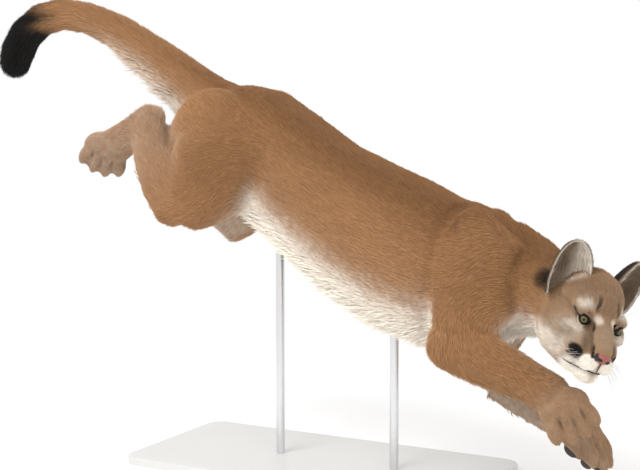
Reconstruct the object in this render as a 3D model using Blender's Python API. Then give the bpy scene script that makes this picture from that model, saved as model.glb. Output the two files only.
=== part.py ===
# A cougar caught in the middle of a leap down from a height: a life-size still model on a stand.
# Metres, +X the way the animal heads, +Y its left, +Z up. The origin is the middle of the
# underside of the stand's base.
import math

import bmesh
import bpy
from mathutils import Matrix, Vector

for old in list(bpy.data.objects):
    bpy.data.objects.remove(old, do_unlink=True)

# Between touching solids, and how fine the skins of the body and the head are
GAP = 0.0003
FIT_GAP = 0.00042
BODY_CELL = 0.006
HEAD_CELL = 0.0026
BODY_SHARE = 0.034
HEAD_SHARE = 0.046
BODY_PASSES = 7
HEAD_PASSES = 24
SHARP_EDGE = math.radians(50)

# Head: place, turn and size. Its own axes are +X along the palate, +Y left, +Z up.
HEAD_AT = Vector((0.707, -0.119, 0.433))
HEAD_TURN = math.radians(-52.8)
HEAD_NOD = math.radians(17.6)
HEAD_ROLL = math.radians(-20.5)
HEAD_SIZE = 0.965
EYE_AT = (0.0450, 0.0405, 0.0150)
EYE_RADIUS = 0.0128
LID_RADII = (0.0146, 0.0152, 0.0146)
LID_SET_BACK = 0.0004
SLIT_HALF_WIDTH = 0.0118
SLIT_HALF_HEIGHT = 0.0072
SLIT_RISE = 0.0012
SLIT_DEPTHS = (0.004, 0.030)
SLIT_STEPS = 9
NOSTRIL_AT = (0.1235, 0.0100, -0.0335)
NOSTRIL_RADII = (0.0060, 0.0034, 0.0030)
PHILTRUM_AT = (0.124, 0, -0.058)
PHILTRUM_SIZE = (0.014, 0.0013, 0.020)

# Line of the mouth from its corner to the front, and how far the cut reaches in and out of it
MOUTH_SIDE = [
    (0.046, 0.054, -0.0840), (0.055, 0.049, -0.0835), (0.068, 0.043, -0.0815),
    (0.086, 0.034, -0.0775), (0.104, 0.024, -0.0730), (0.119, 0.010, -0.0700),
]
MOUTH_HALF_GAP = 0.0007
MOUTH_INWARDS = (-0.018, 0.42, 0.002)
MOUTH_OUTWARDS = (0.006, 1.20, 0.0)

# Ears: cups that open forwards and outwards, from below the skin of the head to the tip
EAR_AT = (-0.0520, 0.0600, 0.0500)
EAR_HEIGHT = 0.102
EAR_RADIUS = 0.0435
EAR_WALL = 0.0034
EAR_LEVELS = (-0.42, 0.0, 0.30, 0.55, 0.74, 0.88, 0.95, 0.985)
EAR_HALF_TURN = 104
EAR_STEPS = 12
EAR_HOLLOW = 0.62
EAR_HOLLOW_AT_BASE = 0.10
EAR_SHIFT = 0.35
EAR_ROOT_SHARE = 0.93

# Feet: ankle, the way the foot points, the way its toes stand side by side, length, width, curl
RIGHT_FOREPAW = ((0.641, -0.118, 0.268), (0.54, -0.10, -0.84), (0.84, 0.42, 0.34), 0.110, 0.131, 0.04)
LEFT_FOREPAW = ((0.612, 0.078, 0.164), (0.80, -0.12, -0.58), (0.10, 1.0, 0.0), 0.144, 0.130, 0.10)
RIGHT_HIND_PAW = ((-0.562, -0.116, 0.831), (-0.36, -0.08, -0.92), (0.80, 0.50, -0.30), 0.106, 0.138, 0.04)
LEFT_HIND_PAW = ((-0.492, 0.100, 0.684), (0.24, 0.02, -0.97), (0.15, 1.0, 0.0), 0.094, 0.096, 0.06)
TOE_REACH = (0.86, 1.0, 1.0, 0.86)
TOE_SPACING = 0.208
KNUCKLE_OUT, KNUCKLE_SPREAD, KNUCKLE_RISE = 0.48, 0.92, 0.06
TIP_OUT, TIP_SPREAD = 0.84, 1.12

# Stand
BASE_LENGTH = 0.92
BASE_WIDTH = 0.44
BASE_HEIGHT = 0.018
BASE_CORNER = 0.045
BASE_RIM = 0.004
ROD_RADIUS = 0.011
ROD_SIDES = 24
ROD_PLACES = {"front": (0.205, 0.405), "rear": (-0.115, 0.640)}

TAWNY = (0.36, 0.19, 0.09)


def material(name, colour, roughness, metallic=0.0):
    made = bpy.data.materials.new(name)
    made.use_nodes = True
    shader = made.node_tree.nodes["Principled BSDF"]
    shader.inputs["Base Color"].default_value = (*colour, 1)
    shader.inputs["Roughness"].default_value = roughness
    shader.inputs["Metallic"].default_value = metallic
    return made


def object_of(name, bm):
    mesh = bpy.data.meshes.new(name)
    bm.normal_update()
    bmesh.ops.recalc_face_normals(bm, faces=bm.faces)
    bm.to_mesh(mesh)
    bm.free()
    made = bpy.data.objects.new(name, mesh)
    bpy.context.collection.objects.link(made)
    return made


def settle(obj):
    """Makes the result of an object's modifiers its own mesh."""
    bpy.context.view_layer.update()
    graph = bpy.context.evaluated_depsgraph_get()
    mesh = bpy.data.meshes.new_from_object(obj.evaluated_get(graph))
    obj.modifiers.clear()
    obj.data = mesh
    return obj


# Tubes and lumps of flesh. A station is (centre, half-depth, half-width): depth is across the
# tube in the plane of its path, width along the side direction.
def tube(name, stations, side=(0, 1, 0), sides=20, fullness=2.2, cap=0.6):
    bm = bmesh.new()
    points = [Vector(s[0]) for s in stations]
    last = len(points) - 1
    rings = []
    for i, (centre, depth, width) in enumerate(stations):
        along = (points[min(i + 1, last)] - points[max(i - 1, 0)]).normalized()
        across = Vector(side)
        across = (across - along * along.dot(across)).normalized()
        upward = along.cross(across)
        place = [(0.0, 1.0)]
        if i == 0:
            place = [(-cap, 0.35), (-cap * 0.75, 0.72), (0.0, 1.0)]
        if i == last:
            place = [(0.0, 1.0), (cap * 0.75, 0.72), (cap, 0.35)]
        for shift, scale in place:
            middle = points[i] + along * shift * depth
            ring = []
            for k in range(sides):
                turn = 2 * math.pi * k / sides
                c, s = math.cos(turn), math.sin(turn)
                u = math.copysign(abs(c) ** (2 / fullness), c) * width * scale
                v = math.copysign(abs(s) ** (2 / fullness), s) * depth * scale
                ring.append(bm.verts.new(middle + across * u + upward * v))
            rings.append(ring)
    for a, b in zip(rings, rings[1:]):
        for k in range(sides):
            n = (k + 1) % sides
            bm.faces.new((a[k], a[n], b[n], b[k]))
    bm.faces.new(rings[0])
    bm.faces.new(rings[-1])
    return object_of(name, bm)


def lump(name, at, radii, frame=None, sides=20):
    """An ellipsoid whose axes are the columns of frame."""
    bm = bmesh.new()
    bmesh.ops.create_uvsphere(bm, u_segments=sides, v_segments=sides // 2 + 2, radius=1)
    turn = frame.to_4x4() if frame else Matrix.Identity(4)
    place = Matrix.Translation(Vector(at)) @ turn @ Matrix.Diagonal((*radii, 1))
    bm.transform(place)
    return object_of(name, bm)


def pitched(degrees):
    """A frame whose X axis dips by this much below the horizontal."""
    return Matrix.Rotation(math.radians(degrees), 3, "Y")


def frame_of(along, wide):
    """A frame with X along, Y as near to wide as it can be, and Z square to both."""
    x = Vector(along).normalized()
    y = Vector(wide)
    y = (y - x * x.dot(y)).normalized()
    return Matrix((x, y, x.cross(y))).transposed()


def fuse(name, pieces, cell, share, passes, strength=0.5):
    """One closed skin round overlapping pieces, smoothed and thinned."""
    bm = bmesh.new()
    for piece in pieces:
        bm.from_mesh(piece.data)
        bpy.data.objects.remove(piece, do_unlink=True)
    whole = object_of(name, bm)
    remesh = whole.modifiers.new("one_skin", "REMESH")
    remesh.mode = "VOXEL"
    remesh.voxel_size = cell
    smooth = whole.modifiers.new("soften", "SMOOTH")
    smooth.factor = strength
    smooth.iterations = passes
    thin = whole.modifiers.new("thin", "DECIMATE")
    thin.ratio = share
    return settle(whole)


# Boolean work
def combine(target, other, operation, keep=False, solver="EXACT"):
    change = target.modifiers.new(operation.lower(), "BOOLEAN")
    change.operation = operation
    change.object = other
    change.solver = solver
    settle(target)
    if not keep:
        bpy.data.objects.remove(other, do_unlink=True)
    largest_only(target)
    return target


def largest_only(obj):
    """Drops every scrap but the largest closed surface."""
    bm = bmesh.new()
    bm.from_mesh(obj.data)
    bmesh.ops.remove_doubles(bm, verts=bm.verts, dist=1e-6)
    bmesh.ops.dissolve_degenerate(bm, dist=1e-6, edges=bm.edges)
    bmesh.ops.triangulate(bm, faces=bm.faces)
    left = set(bm.verts)
    islands = []
    while left:
        start = left.pop()
        island, front = {start}, [start]
        while front:
            for edge in front.pop().link_edges:
                for vert in edge.verts:
                    if vert in left:
                        left.discard(vert)
                        island.add(vert)
                        front.append(vert)
        islands.append(island)
    islands.sort(key=len)
    scraps = [v for island in islands[:-1] for v in island]
    bmesh.ops.delete(bm, geom=scraps, context="VERTS")
    bm.to_mesh(obj.data)
    bm.free()


def copy_of(obj, name):
    made = bpy.data.objects.new(name, obj.data.copy())
    bpy.context.collection.objects.link(made)
    return made


def grown(obj, by):
    """A copy of a solid, grown outwards."""
    made = copy_of(obj, obj.name + "_grown")
    swell = made.modifiers.new("swell", "DISPLACE")
    swell.strength = by
    swell.mid_level = 0
    return settle(made)


def box_from(at, facing, wide, reach, half_wide, half_high, back=0.0):
    """A box that starts at a point and reaches out the way it faces."""
    frame = frame_of(facing, wide)
    bm = bmesh.new()
    bmesh.ops.create_cube(bm, size=1)
    size = Matrix.Diagonal((reach + back, 2 * half_wide, 2 * half_high, 1))
    middle = Vector(at) + frame.col[0] * ((reach - back) / 2)
    bm.transform(Matrix.Translation(middle) @ frame.to_4x4() @ size)
    return object_of("cutter", bm)


def part_off(whole, name, at, facing, wide, reach, half_wide, half_high):
    """Cuts what lies in a box off the whole, as a node of its own, and leaves a thin gap."""
    piece = copy_of(whole, name)
    taken = box_from(at, facing, wide, reach, half_wide, half_high)
    combine(piece, taken, "INTERSECT")
    cleared = box_from(at, facing, wide, reach, half_wide + GAP, half_high + GAP, GAP)
    combine(whole, cleared, "DIFFERENCE")
    return piece


# Torso, neck and tail
def trunk():
    """From the rump to inside the head. The back falls forwards and the neck turns right."""
    torso = tube("torso_form", [
        ((-0.318, 0, 0.888), 0.080, 0.062),
        ((-0.260, 0, 0.852), 0.131, 0.092),
        ((-0.185, 0, 0.811), 0.157, 0.108),
        ((-0.105, 0, 0.758), 0.157, 0.114),
        ((0.008, 0, 0.675), 0.162, 0.119),
        ((0.120, 0, 0.605), 0.179, 0.125),
        ((0.227, 0, 0.550), 0.187, 0.129),
        ((0.330, 0, 0.512), 0.178, 0.126),
        ((0.412, 0, 0.503), 0.170, 0.114),
        ((0.485, 0, 0.505), 0.143, 0.096),
    ], sides=28, fullness=2.3)
    neck = tube("neck_form", [
        ((0.440, 0, 0.508), 0.132, 0.100),
        ((0.500, -0.004, 0.502), 0.131, 0.094),
        ((0.553, -0.014, 0.487), 0.112, 0.086),
        ((0.605, -0.038, 0.471), 0.090, 0.078),
        ((0.655, -0.078, 0.450), 0.066, 0.064),
    ], sides=28)
    return [torso, neck]


def tail():
    path = [
        (-0.250, 0.882, 0.085, 0.060),
        (-0.318, 0.912, 0.080, 0.060),
        (-0.392, 0.966, 0.069, 0.054),
        (-0.487, 1.037, 0.056, 0.047),
        (-0.618, 1.119, 0.047, 0.043),
        (-0.725, 1.163, 0.043, 0.042),
        (-0.815, 1.181, 0.044, 0.043),
        (-0.890, 1.171, 0.045, 0.044),
        (-0.953, 1.134, 0.047, 0.045),
        (-0.990, 1.082, 0.048, 0.046),
        (-1.002, 1.044, 0.043, 0.042),
    ]
    return [tube("tail_form", [((x, 0, z), depth, width) for x, z, depth, width in path], cap=0.7)]


# Legs
def paw(name, ankle, along, wide, length, width, curl):
    """A broad cat's foot: a block at the knuckles, four toes that curl under, and the pads."""
    frame = frame_of(along, wide)
    lengthwise, across, under = frame.col[0].copy(), frame.col[1].copy(), -frame.col[2]
    ankle = Vector(ankle)
    block = (length * 0.42, width * 0.44, width * 0.33)
    pieces = [lump(name, ankle + lengthwise * length * 0.30, block, frame)]
    for k, reach in enumerate(TOE_REACH):
        offset = (k - 1.5) * width * TOE_SPACING
        knuckle = ankle + lengthwise * length * KNUCKLE_OUT * reach + across * offset * KNUCKLE_SPREAD
        knuckle -= under * width * KNUCKLE_RISE
        tip = ankle + lengthwise * length * TIP_OUT * reach + across * offset * TIP_SPREAD
        tip += under * width * curl
        bone = tip - knuckle
        flesh = (bone.length * 0.62 + width * 0.10, width * 0.140, width * 0.165)
        pieces.append(lump(name, (knuckle + tip) / 2, flesh, frame_of(bone, across), 14))
        pad = tip + under * width * 0.10 - lengthwise * length * 0.04
        pieces.append(lump(name, pad, (width * 0.13, width * 0.10, width * 0.09), frame, 12))
    heel = ankle + lengthwise * length * 0.40 + under * width * 0.28
    pieces.append(lump(name, heel, (width * 0.22, width * 0.27, width * 0.13), frame, 14))
    return pieces


def right_foreleg():
    upper = tube("upper_arm_R_form", [
        ((0.425, -0.066, 0.632), 0.050, 0.034),
        ((0.468, -0.084, 0.560), 0.094, 0.048),
        ((0.455, -0.098, 0.465), 0.098, 0.054),
        ((0.412, -0.112, 0.398), 0.074, 0.052),
    ])
    fore = tube("forearm_R_form", [
        ((0.380, -0.116, 0.366), 0.064, 0.046),
        ((0.430, -0.115, 0.350), 0.068, 0.049),
        ((0.505, -0.113, 0.319), 0.058, 0.047),
        ((0.578, -0.113, 0.289), 0.048, 0.045),
        ((0.632, -0.116, 0.266), 0.045, 0.047),
    ])
    return [upper, fore] + paw("forepaw_R_form", *RIGHT_FOREPAW)


def left_foreleg():
    upper = tube("upper_arm_L_form", [
        ((0.425, 0.066, 0.624), 0.050, 0.034),
        ((0.468, 0.084, 0.540), 0.092, 0.048),
        ((0.450, 0.098, 0.430), 0.094, 0.052),
        ((0.408, 0.110, 0.330), 0.070, 0.048),
    ])
    fore = tube("forearm_L_form", [
        ((0.380, 0.112, 0.284), 0.062, 0.045),
        ((0.430, 0.108, 0.260), 0.066, 0.047),
        ((0.505, 0.098, 0.217), 0.061, 0.045),
        ((0.572, 0.086, 0.184), 0.053, 0.043),
        ((0.617, 0.078, 0.165), 0.048, 0.045),
    ])
    return [upper, fore] + paw("forepaw_L_form", *LEFT_FOREPAW)


def right_hind_leg():
    thigh = tube("thigh_R_form", [
        ((-0.175, -0.046, 0.865), 0.085, 0.050),
        ((-0.210, -0.078, 0.800), 0.128, 0.062),
        ((-0.258, -0.104, 0.728), 0.130, 0.066),
        ((-0.312, -0.118, 0.668), 0.094, 0.060),
    ])
    rump = lump("rump_R_form", (-0.280, -0.070, 0.850), (0.124, 0.056, 0.102), pitched(-25))
    shank = tube("shank_R_form", [
        ((-0.340, -0.120, 0.662), 0.078, 0.054),
        ((-0.393, -0.119, 0.720), 0.066, 0.048),
        ((-0.431, -0.115, 0.785), 0.053, 0.040),
        ((-0.441, -0.109, 0.845), 0.045, 0.034),
        ((-0.435, -0.105, 0.891), 0.041, 0.033),
    ])
    foot = tube("foot_R_form", [
        ((-0.440, -0.105, 0.880), 0.041, 0.033),
        ((-0.485, -0.108, 0.850), 0.043, 0.038),
        ((-0.526, -0.112, 0.822), 0.046, 0.044),
        ((-0.564, -0.114, 0.802), 0.048, 0.050),
    ])
    return [thigh, rump, shank, foot] + paw("hindpaw_R_form", *RIGHT_HIND_PAW)


def left_hind_leg():
    thigh = tube("thigh_L_form", [
        ((-0.175, 0.046, 0.860), 0.085, 0.050),
        ((-0.205, 0.078, 0.790), 0.126, 0.062),
        ((-0.276, 0.104, 0.692), 0.122, 0.065),
        ((-0.366, 0.118, 0.616), 0.088, 0.058),
    ])
    rump = lump("rump_L_form", (-0.272, 0.070, 0.846), (0.122, 0.056, 0.102), pitched(-25))
    shank = tube("shank_L_form", [
        ((-0.396, 0.120, 0.620), 0.068, 0.052),
        ((-0.434, 0.117, 0.680), 0.058, 0.046),
        ((-0.458, 0.111, 0.738), 0.045, 0.038),
        ((-0.490, 0.104, 0.795), 0.036, 0.032),
    ])
    foot = tube("foot_L_form", [
        ((-0.494, 0.103, 0.798), 0.036, 0.031),
        ((-0.502, 0.102, 0.752), 0.034, 0.034),
        ((-0.498, 0.101, 0.705), 0.036, 0.040),
        ((-0.488, 0.100, 0.665), 0.038, 0.043),
    ])
    return [thigh, rump, shank, foot] + paw("hindpaw_L_form", *LEFT_HIND_PAW)


# Head, in its own axes and then set on the neck
def head_place():
    turn = Matrix.Rotation(HEAD_TURN, 4, "Z") @ Matrix.Rotation(HEAD_NOD, 4, "Y")
    turn = turn @ Matrix.Rotation(HEAD_ROLL, 4, "X")
    return Matrix.Translation(HEAD_AT) @ turn @ Matrix.Scale(HEAD_SIZE, 4)


def head_forms():
    pieces = [
        lump("skull", (-0.038, 0, 0.034), (0.088, 0.069, 0.075)),
        lump("forehead", (0.004, 0, 0.046), (0.062, 0.052, 0.041), pitched(26)),
        lump("nape", (-0.085, 0, -0.006), (0.060, 0.062, 0.064)),
        lump("throat", (-0.040, 0, -0.047), (0.070, 0.052, 0.052)),
        tube("nose_bridge", [
            ((0.022, 0, 0.016), 0.036, 0.032),
            ((0.060, 0, 0.002), 0.031, 0.0265),
            ((0.090, 0, -0.016), 0.027, 0.0225),
            ((0.110, 0, -0.028), 0.022, 0.0195),
        ], fullness=2.5, cap=0.5),
        tube("muzzle", [
            ((0.030, 0, -0.034), 0.046, 0.046),
            ((0.066, 0, -0.041), 0.037, 0.0400),
            ((0.096, 0, -0.048), 0.0275, 0.0350),
            ((0.111, 0, -0.051), 0.0195, 0.0280),
        ], fullness=2.3, cap=0.45),
        lump("chin", (0.084, 0, -0.0880), (0.034, 0.0285, 0.0205), pitched(-6)),
    ]
    for s in (1, -1):
        pieces += [
            lump("cheek", (-0.020, s * 0.046, -0.026), (0.062, 0.046, 0.058)),
            lump("cheek_ruff", (-0.045, s * 0.040, -0.042), (0.058, 0.046, 0.058)),
            lump("cheek_bone", (0.006, s * 0.058, -0.004), (0.050, 0.022, 0.025), pitched(8)),
            lump("whisker_pad", (0.093, s * 0.0210, -0.0530), (0.031, 0.0240, 0.0215), pitched(10)),
            lump("muzzle_root", (0.052, s * 0.030, -0.038), (0.044, 0.030, 0.034)),
            lump("under_eye", (0.040, s * 0.044, -0.008), (0.024, 0.019, 0.014), pitched(20)),
            lump("brow", (0.026, s * 0.045, 0.031), (0.027, 0.022, 0.013), pitched(18)),
            tube("jaw", [
                ((-0.030, s * 0.046, -0.070), 0.031, 0.027),
                ((0.015, s * 0.034, -0.080), 0.024, 0.023),
                ((0.062, s * 0.020, -0.087), 0.0190, 0.019),
            ]),
        ]
    return pieces


def eye_point(s):
    return Vector((EYE_AT[0], s * EYE_AT[1], EYE_AT[2]))


def gaze(s):
    """The way an eye looks: forwards, outwards and a little up."""
    return frame_of((0.86, s * 0.50, 0.10), (-0.45, s * 0.80, 0.14))


def lid_ball(s):
    return lump("lids", eye_point(s) - gaze(s).col[0] * LID_SET_BACK, LID_RADII, gaze(s))


def eye_slit(s):
    """The opening between the lids: a lens drawn out along the gaze, higher at its outer corner."""
    frame = gaze(s)
    bm = bmesh.new()
    outline = []
    for k in range(2 * SLIT_STEPS):
        lower = k >= SLIT_STEPS
        a = 3 - 2 * k / SLIT_STEPS if lower else 2 * k / SLIT_STEPS - 1
        h = SLIT_HALF_HEIGHT * (1 - a * a) ** 0.8
        outline.append((a * SLIT_HALF_WIDTH, (-h if lower else h) + SLIT_RISE * a))
    rings = []
    for depth in SLIT_DEPTHS:
        start = eye_point(s) + frame.col[0] * depth
        rings.append([bm.verts.new(start + frame.col[1] * a + frame.col[2] * h * s) for a, h in outline])
    near, far = rings
    for k in range(len(near)):
        n = (k + 1) % len(near)
        bm.faces.new((near[k], near[n], far[n], far[k]))
    bm.faces.new(near)
    bm.faces.new(far)
    return object_of("slit", bm)


def mouth_line():
    """A thin curved plate that cuts the line between the lips, from one corner to the other."""
    bm = bmesh.new()
    path = MOUTH_SIDE + [(x, -y, z) for x, y, z in reversed(MOUTH_SIDE)]
    rows = []
    for x, y, z in path:
        row = []
        for (shift, spread, rise), half in (
            (MOUTH_INWARDS, MOUTH_HALF_GAP), (MOUTH_OUTWARDS, MOUTH_HALF_GAP),
            (MOUTH_OUTWARDS, -MOUTH_HALF_GAP), (MOUTH_INWARDS, -MOUTH_HALF_GAP),
        ):
            row.append(bm.verts.new((x + shift, y * spread, z + rise + half)))
        rows.append(row)
    for a, b in zip(rows, rows[1:]):
        for k in range(4):
            n = (k + 1) % 4
            bm.faces.new((a[k], a[n], b[n], b[k]))
    bm.faces.new(rows[0])
    bm.faces.new(rows[-1])
    return object_of("mouth_cut", bm)


def nostril(s):
    at = (NOSTRIL_AT[0], s * NOSTRIL_AT[1], NOSTRIL_AT[2])
    return lump("nostril", at, NOSTRIL_RADII, frame_of((0.8, s * 0.6, 0), (0, 0, 1)), 12)


def philtrum():
    """The groove between the nose and the lips."""
    bm = bmesh.new()
    bmesh.ops.create_cube(bm, size=1)
    bm.transform(Matrix.Translation(PHILTRUM_AT) @ Matrix.Diagonal((*PHILTRUM_SIZE, 1)))
    return object_of("philtrum", bm)


def nose_leather():
    return tube("nose", [
        ((0.104, 0, -0.0270), 0.0110, 0.0150),
        ((0.114, 0, -0.0310), 0.0125, 0.0180),
        ((0.1215, 0, -0.0355), 0.0110, 0.0165),
    ], sides=14, fullness=2.4, cap=0.45)


def ear(s):
    """A rounded cup, open to the front and a little to the side."""
    frame = frame_of((-0.02, s * 0.19, 0.95), (-0.35, s * 0.94, 0.0))
    up, out, back = frame.col[0], frame.col[1], frame.col[2] * s
    bm = bmesh.new()
    root = Vector((EAR_AT[0], s * EAR_AT[1], EAR_AT[2]))
    rows = []
    for level in EAR_LEVELS:
        fall = max(level, 0.0)
        radius = EAR_RADIUS * (1 - fall ** 2.6) ** 0.5
        if level < 0:
            radius *= EAR_ROOT_SHARE
        hollow = EAR_HOLLOW + EAR_HOLLOW_AT_BASE * (1 - fall)
        row = []
        for k in range(EAR_STEPS + 1):
            turn = math.radians(EAR_HALF_TURN * (2 * k / EAR_STEPS - 1))
            p = root + up * EAR_HEIGHT * level + out * radius * math.sin(turn)
            p += back * radius * hollow * (math.cos(turn) - EAR_SHIFT)
            row.append(bm.verts.new(p))
        rows.append(row)
    for a, b in zip(rows, rows[1:]):
        for k in range(EAR_STEPS):
            bm.faces.new((a[k], a[k + 1], b[k + 1], b[k]))
    made = object_of("ear_L" if s > 0 else "ear_R", bm)
    wall = made.modifiers.new("wall", "SOLIDIFY")
    wall.thickness = EAR_WALL
    wall.offset = 0
    return settle(made)


def set_on_neck(obj):
    obj.data.transform(head_place())
    return obj


# The stand
def stand():
    bm = bmesh.new()
    bmesh.ops.create_cube(bm, size=1)
    size = Matrix.Diagonal((BASE_LENGTH, BASE_WIDTH, BASE_HEIGHT, 1))
    bm.transform(Matrix.Translation((0, 0, BASE_HEIGHT / 2)) @ size)
    upright = [e for e in bm.edges if abs(e.verts[0].co.z - e.verts[1].co.z) > BASE_HEIGHT / 2]
    bmesh.ops.bevel(bm, geom=upright, offset=BASE_CORNER, segments=6, affect="EDGES", profile=0.5)
    rim = [e for e in bm.edges if min(v.co.z for v in e.verts) > BASE_HEIGHT * 0.99]
    bmesh.ops.bevel(bm, geom=rim, offset=BASE_RIM, segments=2, affect="EDGES", profile=0.5)
    base = object_of("stand_base", bm)
    rods = []
    for name, (x, top) in ROD_PLACES.items():
        rods.append(rod("stand_rod_" + name, x, BASE_HEIGHT + GAP, top, ROD_RADIUS))
    return [base] + rods


def rod(name, x, low, high, radius):
    bm = bmesh.new()
    bmesh.ops.create_cone(
        bm, segments=ROD_SIDES, radius1=radius, radius2=radius, depth=high - low, cap_ends=True
    )
    bm.transform(Matrix.Translation((x, 0, (low + high) / 2)))
    return object_of(name, bm)


# Everything is made and parted here
body = fuse(
    "torso",
    trunk() + tail() + right_foreleg() + left_foreleg() + right_hind_leg() + left_hind_leg(),
    BODY_CELL, BODY_SHARE, BODY_PASSES,
)

head = fuse("head", head_forms(), HEAD_CELL, 1.0, HEAD_PASSES)
for s in (1, -1):
    combine(head, lid_ball(s), "UNION")
thin = head.modifiers.new("thin", "DECIMATE")
thin.ratio = HEAD_SHARE
settle(head)
for s in (1, -1):
    combine(head, eye_slit(s), "DIFFERENCE")
    socket = lump("socket", eye_point(s), (EYE_RADIUS + GAP,) * 3, gaze(s), 16)
    combine(head, socket, "DIFFERENCE")
combine(head, mouth_line(), "DIFFERENCE")
combine(head, philtrum(), "DIFFERENCE")
nose = nose_leather()
combine(head, grown(nose, GAP), "DIFFERENCE")
for s in (1, -1):
    combine(nose, nostril(s), "DIFFERENCE")

eyes = []
for s, name in ((1, "eye_L"), (-1, "eye_R")):
    eyes.append(lump(name, eye_point(s), (EYE_RADIUS,) * 3, gaze(s), 16))
ears = []
around_head = grown(head, FIT_GAP)
for s in (1, -1):
    ears.append(combine(ear(s), around_head, "DIFFERENCE", keep=True))
bpy.data.objects.remove(around_head, do_unlink=True)
for piece in [head, nose] + eyes + ears:
    set_on_neck(piece)

# Where the body is parted, from the ends inwards: node, a point of the cut, the way out of the
# body there, the cut's own Y, how far it reaches, and half its width and height.
ACROSS = (0, 1, 0)
CUTS = [
    ("tail_tip", (-0.740, 0, 1.165), (-1, 0, 0.10), ACROSS, 0.40, 0.15, 0.30),
    ("tail_middle", (-0.500, 0, 1.060), (-0.86, 0, 0.50), ACROSS, 0.40, 0.10, 0.10),
    ("tail_base", (-0.345, 0, 0.952), (-0.80, 0, 0.60), ACROSS, 0.30, 0.066, 0.10),
    ("hind_foot_R", (-0.486, -0.11, 0.820), (-1, 0, -0.06), ACROSS, 0.25, 0.09, 0.16),
    ("hind_shank_R", (-0.400, -0.12, 0.735), (-0.42, 0, 0.90), ACROSS, 0.30, 0.07, 0.075),
    ("hind_thigh_R", (-0.245, -0.068, 0.755), (-0.25, -0.90, -0.35), (-0.8, 0, 0.6), 0.20, 0.17, 0.165),
    ("forepaw_R", (0.610, -0.11, 0.258), (0.62, 0, -0.78), ACROSS, 0.22, 0.10, 0.11),
    ("forearm_R", (0.440, -0.114, 0.352), (0.90, 0, -0.42), ACROSS, 0.25, 0.056, 0.09),
    ("upper_arm_R", (0.430, -0.078, 0.470), (-0.05, -0.93, -0.30), (0.2, 0, 1), 0.15, 0.190, 0.14),
    ("hind_foot_L", (-0.495, 0.11, 0.776), (-0.10, 0, -1), ACROSS, 0.30, 0.09, 0.075),
    ("hind_shank_L", (-0.424, 0.12, 0.686), (-0.60, 0, 0.80), ACROSS, 0.25, 0.07, 0.075),
    ("hind_thigh_L", (-0.245, 0.068, 0.735), (-0.25, 0.90, -0.35), (-0.8, 0, 0.6), 0.20, 0.17, 0.165),
    ("forepaw_L", (0.606, 0.08, 0.176), (0.85, 0, -0.52), ACROSS, 0.22, 0.10, 0.11),
    ("forearm_L", (0.440, 0.108, 0.266), (0.88, 0, -0.47), ACROSS, 0.25, 0.062, 0.09),
    ("upper_arm_L", (0.430, 0.078, 0.440), (-0.05, 0.93, -0.30), (0.2, 0, 1), 0.15, 0.205, 0.14),
    ("neck", (0.520, -0.010, 0.505), (0.97, -0.22, -0.05), ACROSS, 0.30, 0.16, 0.20),
]
parts = {name: part_off(body, name, *cut) for name, *cut in CUTS}
combine(parts["neck"], grown(head, FIT_GAP), "DIFFERENCE")
for piece in ears:
    combine(parts["neck"], grown(piece, FIT_GAP), "DIFFERENCE")

for name, (x, top) in ROD_PLACES.items():
    combine(body, rod("hole", x, 0.1, top + GAP, ROD_RADIUS + GAP), "DIFFERENCE")
standing = stand()

# Materials
looks = {
    "tawny_fur": material("tawny_fur", TAWNY, 0.85),
    "black_fur": material("black_fur", (0.02, 0.017, 0.015), 0.85),
    "ear_fur": material("ear_fur", (0.30, 0.26, 0.22), 0.85),
    "nose_leather": material("nose_leather", (0.55, 0.20, 0.15), 0.45),
    "eye": material("eye", (0.28, 0.24, 0.05), 0.08),
    "base_board": material("base_board", (0.64, 0.635, 0.62), 0.38),
    "rod_steel": material("rod_steel", (0.55, 0.55, 0.56), 0.32, 1.0),
}
for obj in list(bpy.data.objects):
    look = "tawny_fur"
    if obj.name.startswith("eye_"):
        look = "eye"
    elif obj.name.startswith("ear_"):
        look = "ear_fur"
    elif obj.name == "tail_tip":
        look = "black_fur"
    elif obj.name == "nose":
        look = "nose_leather"
    elif obj.name == "stand_base":
        look = "base_board"
    elif obj.name.startswith("stand_rod"):
        look = "rod_steel"
    obj.data.materials.clear()
    obj.data.materials.append(looks[look])
    obj.data.shade_smooth()
    obj.data.set_sharp_from_angle(angle=SHARP_EDGE)
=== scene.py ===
# The looks of a cougar leaping down to the right, a life-size still model on a plain display stand.
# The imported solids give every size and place. The skin, coat, eyes and finishes are made here.
import math

import bmesh
import bpy
import numpy as np
from mathutils import Matrix, Vector


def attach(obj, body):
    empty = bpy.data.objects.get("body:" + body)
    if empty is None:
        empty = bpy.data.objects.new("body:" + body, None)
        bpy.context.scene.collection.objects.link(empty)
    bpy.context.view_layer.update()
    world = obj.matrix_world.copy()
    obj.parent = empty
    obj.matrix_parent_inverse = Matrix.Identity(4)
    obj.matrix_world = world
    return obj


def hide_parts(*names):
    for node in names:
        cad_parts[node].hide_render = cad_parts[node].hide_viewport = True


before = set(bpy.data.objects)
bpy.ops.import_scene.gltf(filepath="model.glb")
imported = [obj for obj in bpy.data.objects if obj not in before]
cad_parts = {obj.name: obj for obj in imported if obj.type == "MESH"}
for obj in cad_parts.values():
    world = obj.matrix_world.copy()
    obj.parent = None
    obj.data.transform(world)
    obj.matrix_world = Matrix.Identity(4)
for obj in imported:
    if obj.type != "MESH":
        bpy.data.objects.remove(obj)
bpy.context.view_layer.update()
scene = bpy.context.scene
scene.view_settings.view_transform = "Standard"


# Studio. A pale floor that runs out of sight into white, one large soft lamp above the camera's
# left shoulder, a weaker one on the right, and a camera level with the animal's chest.
def feed(tree, sockets, values):
    """Sets each socket to a plain value, or links another node's output to it."""
    for key, value in values.items():
        if isinstance(value, bpy.types.NodeSocket):
            tree.links.new(value, sockets[key])
        else:
            sockets[key].default_value = value


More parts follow.
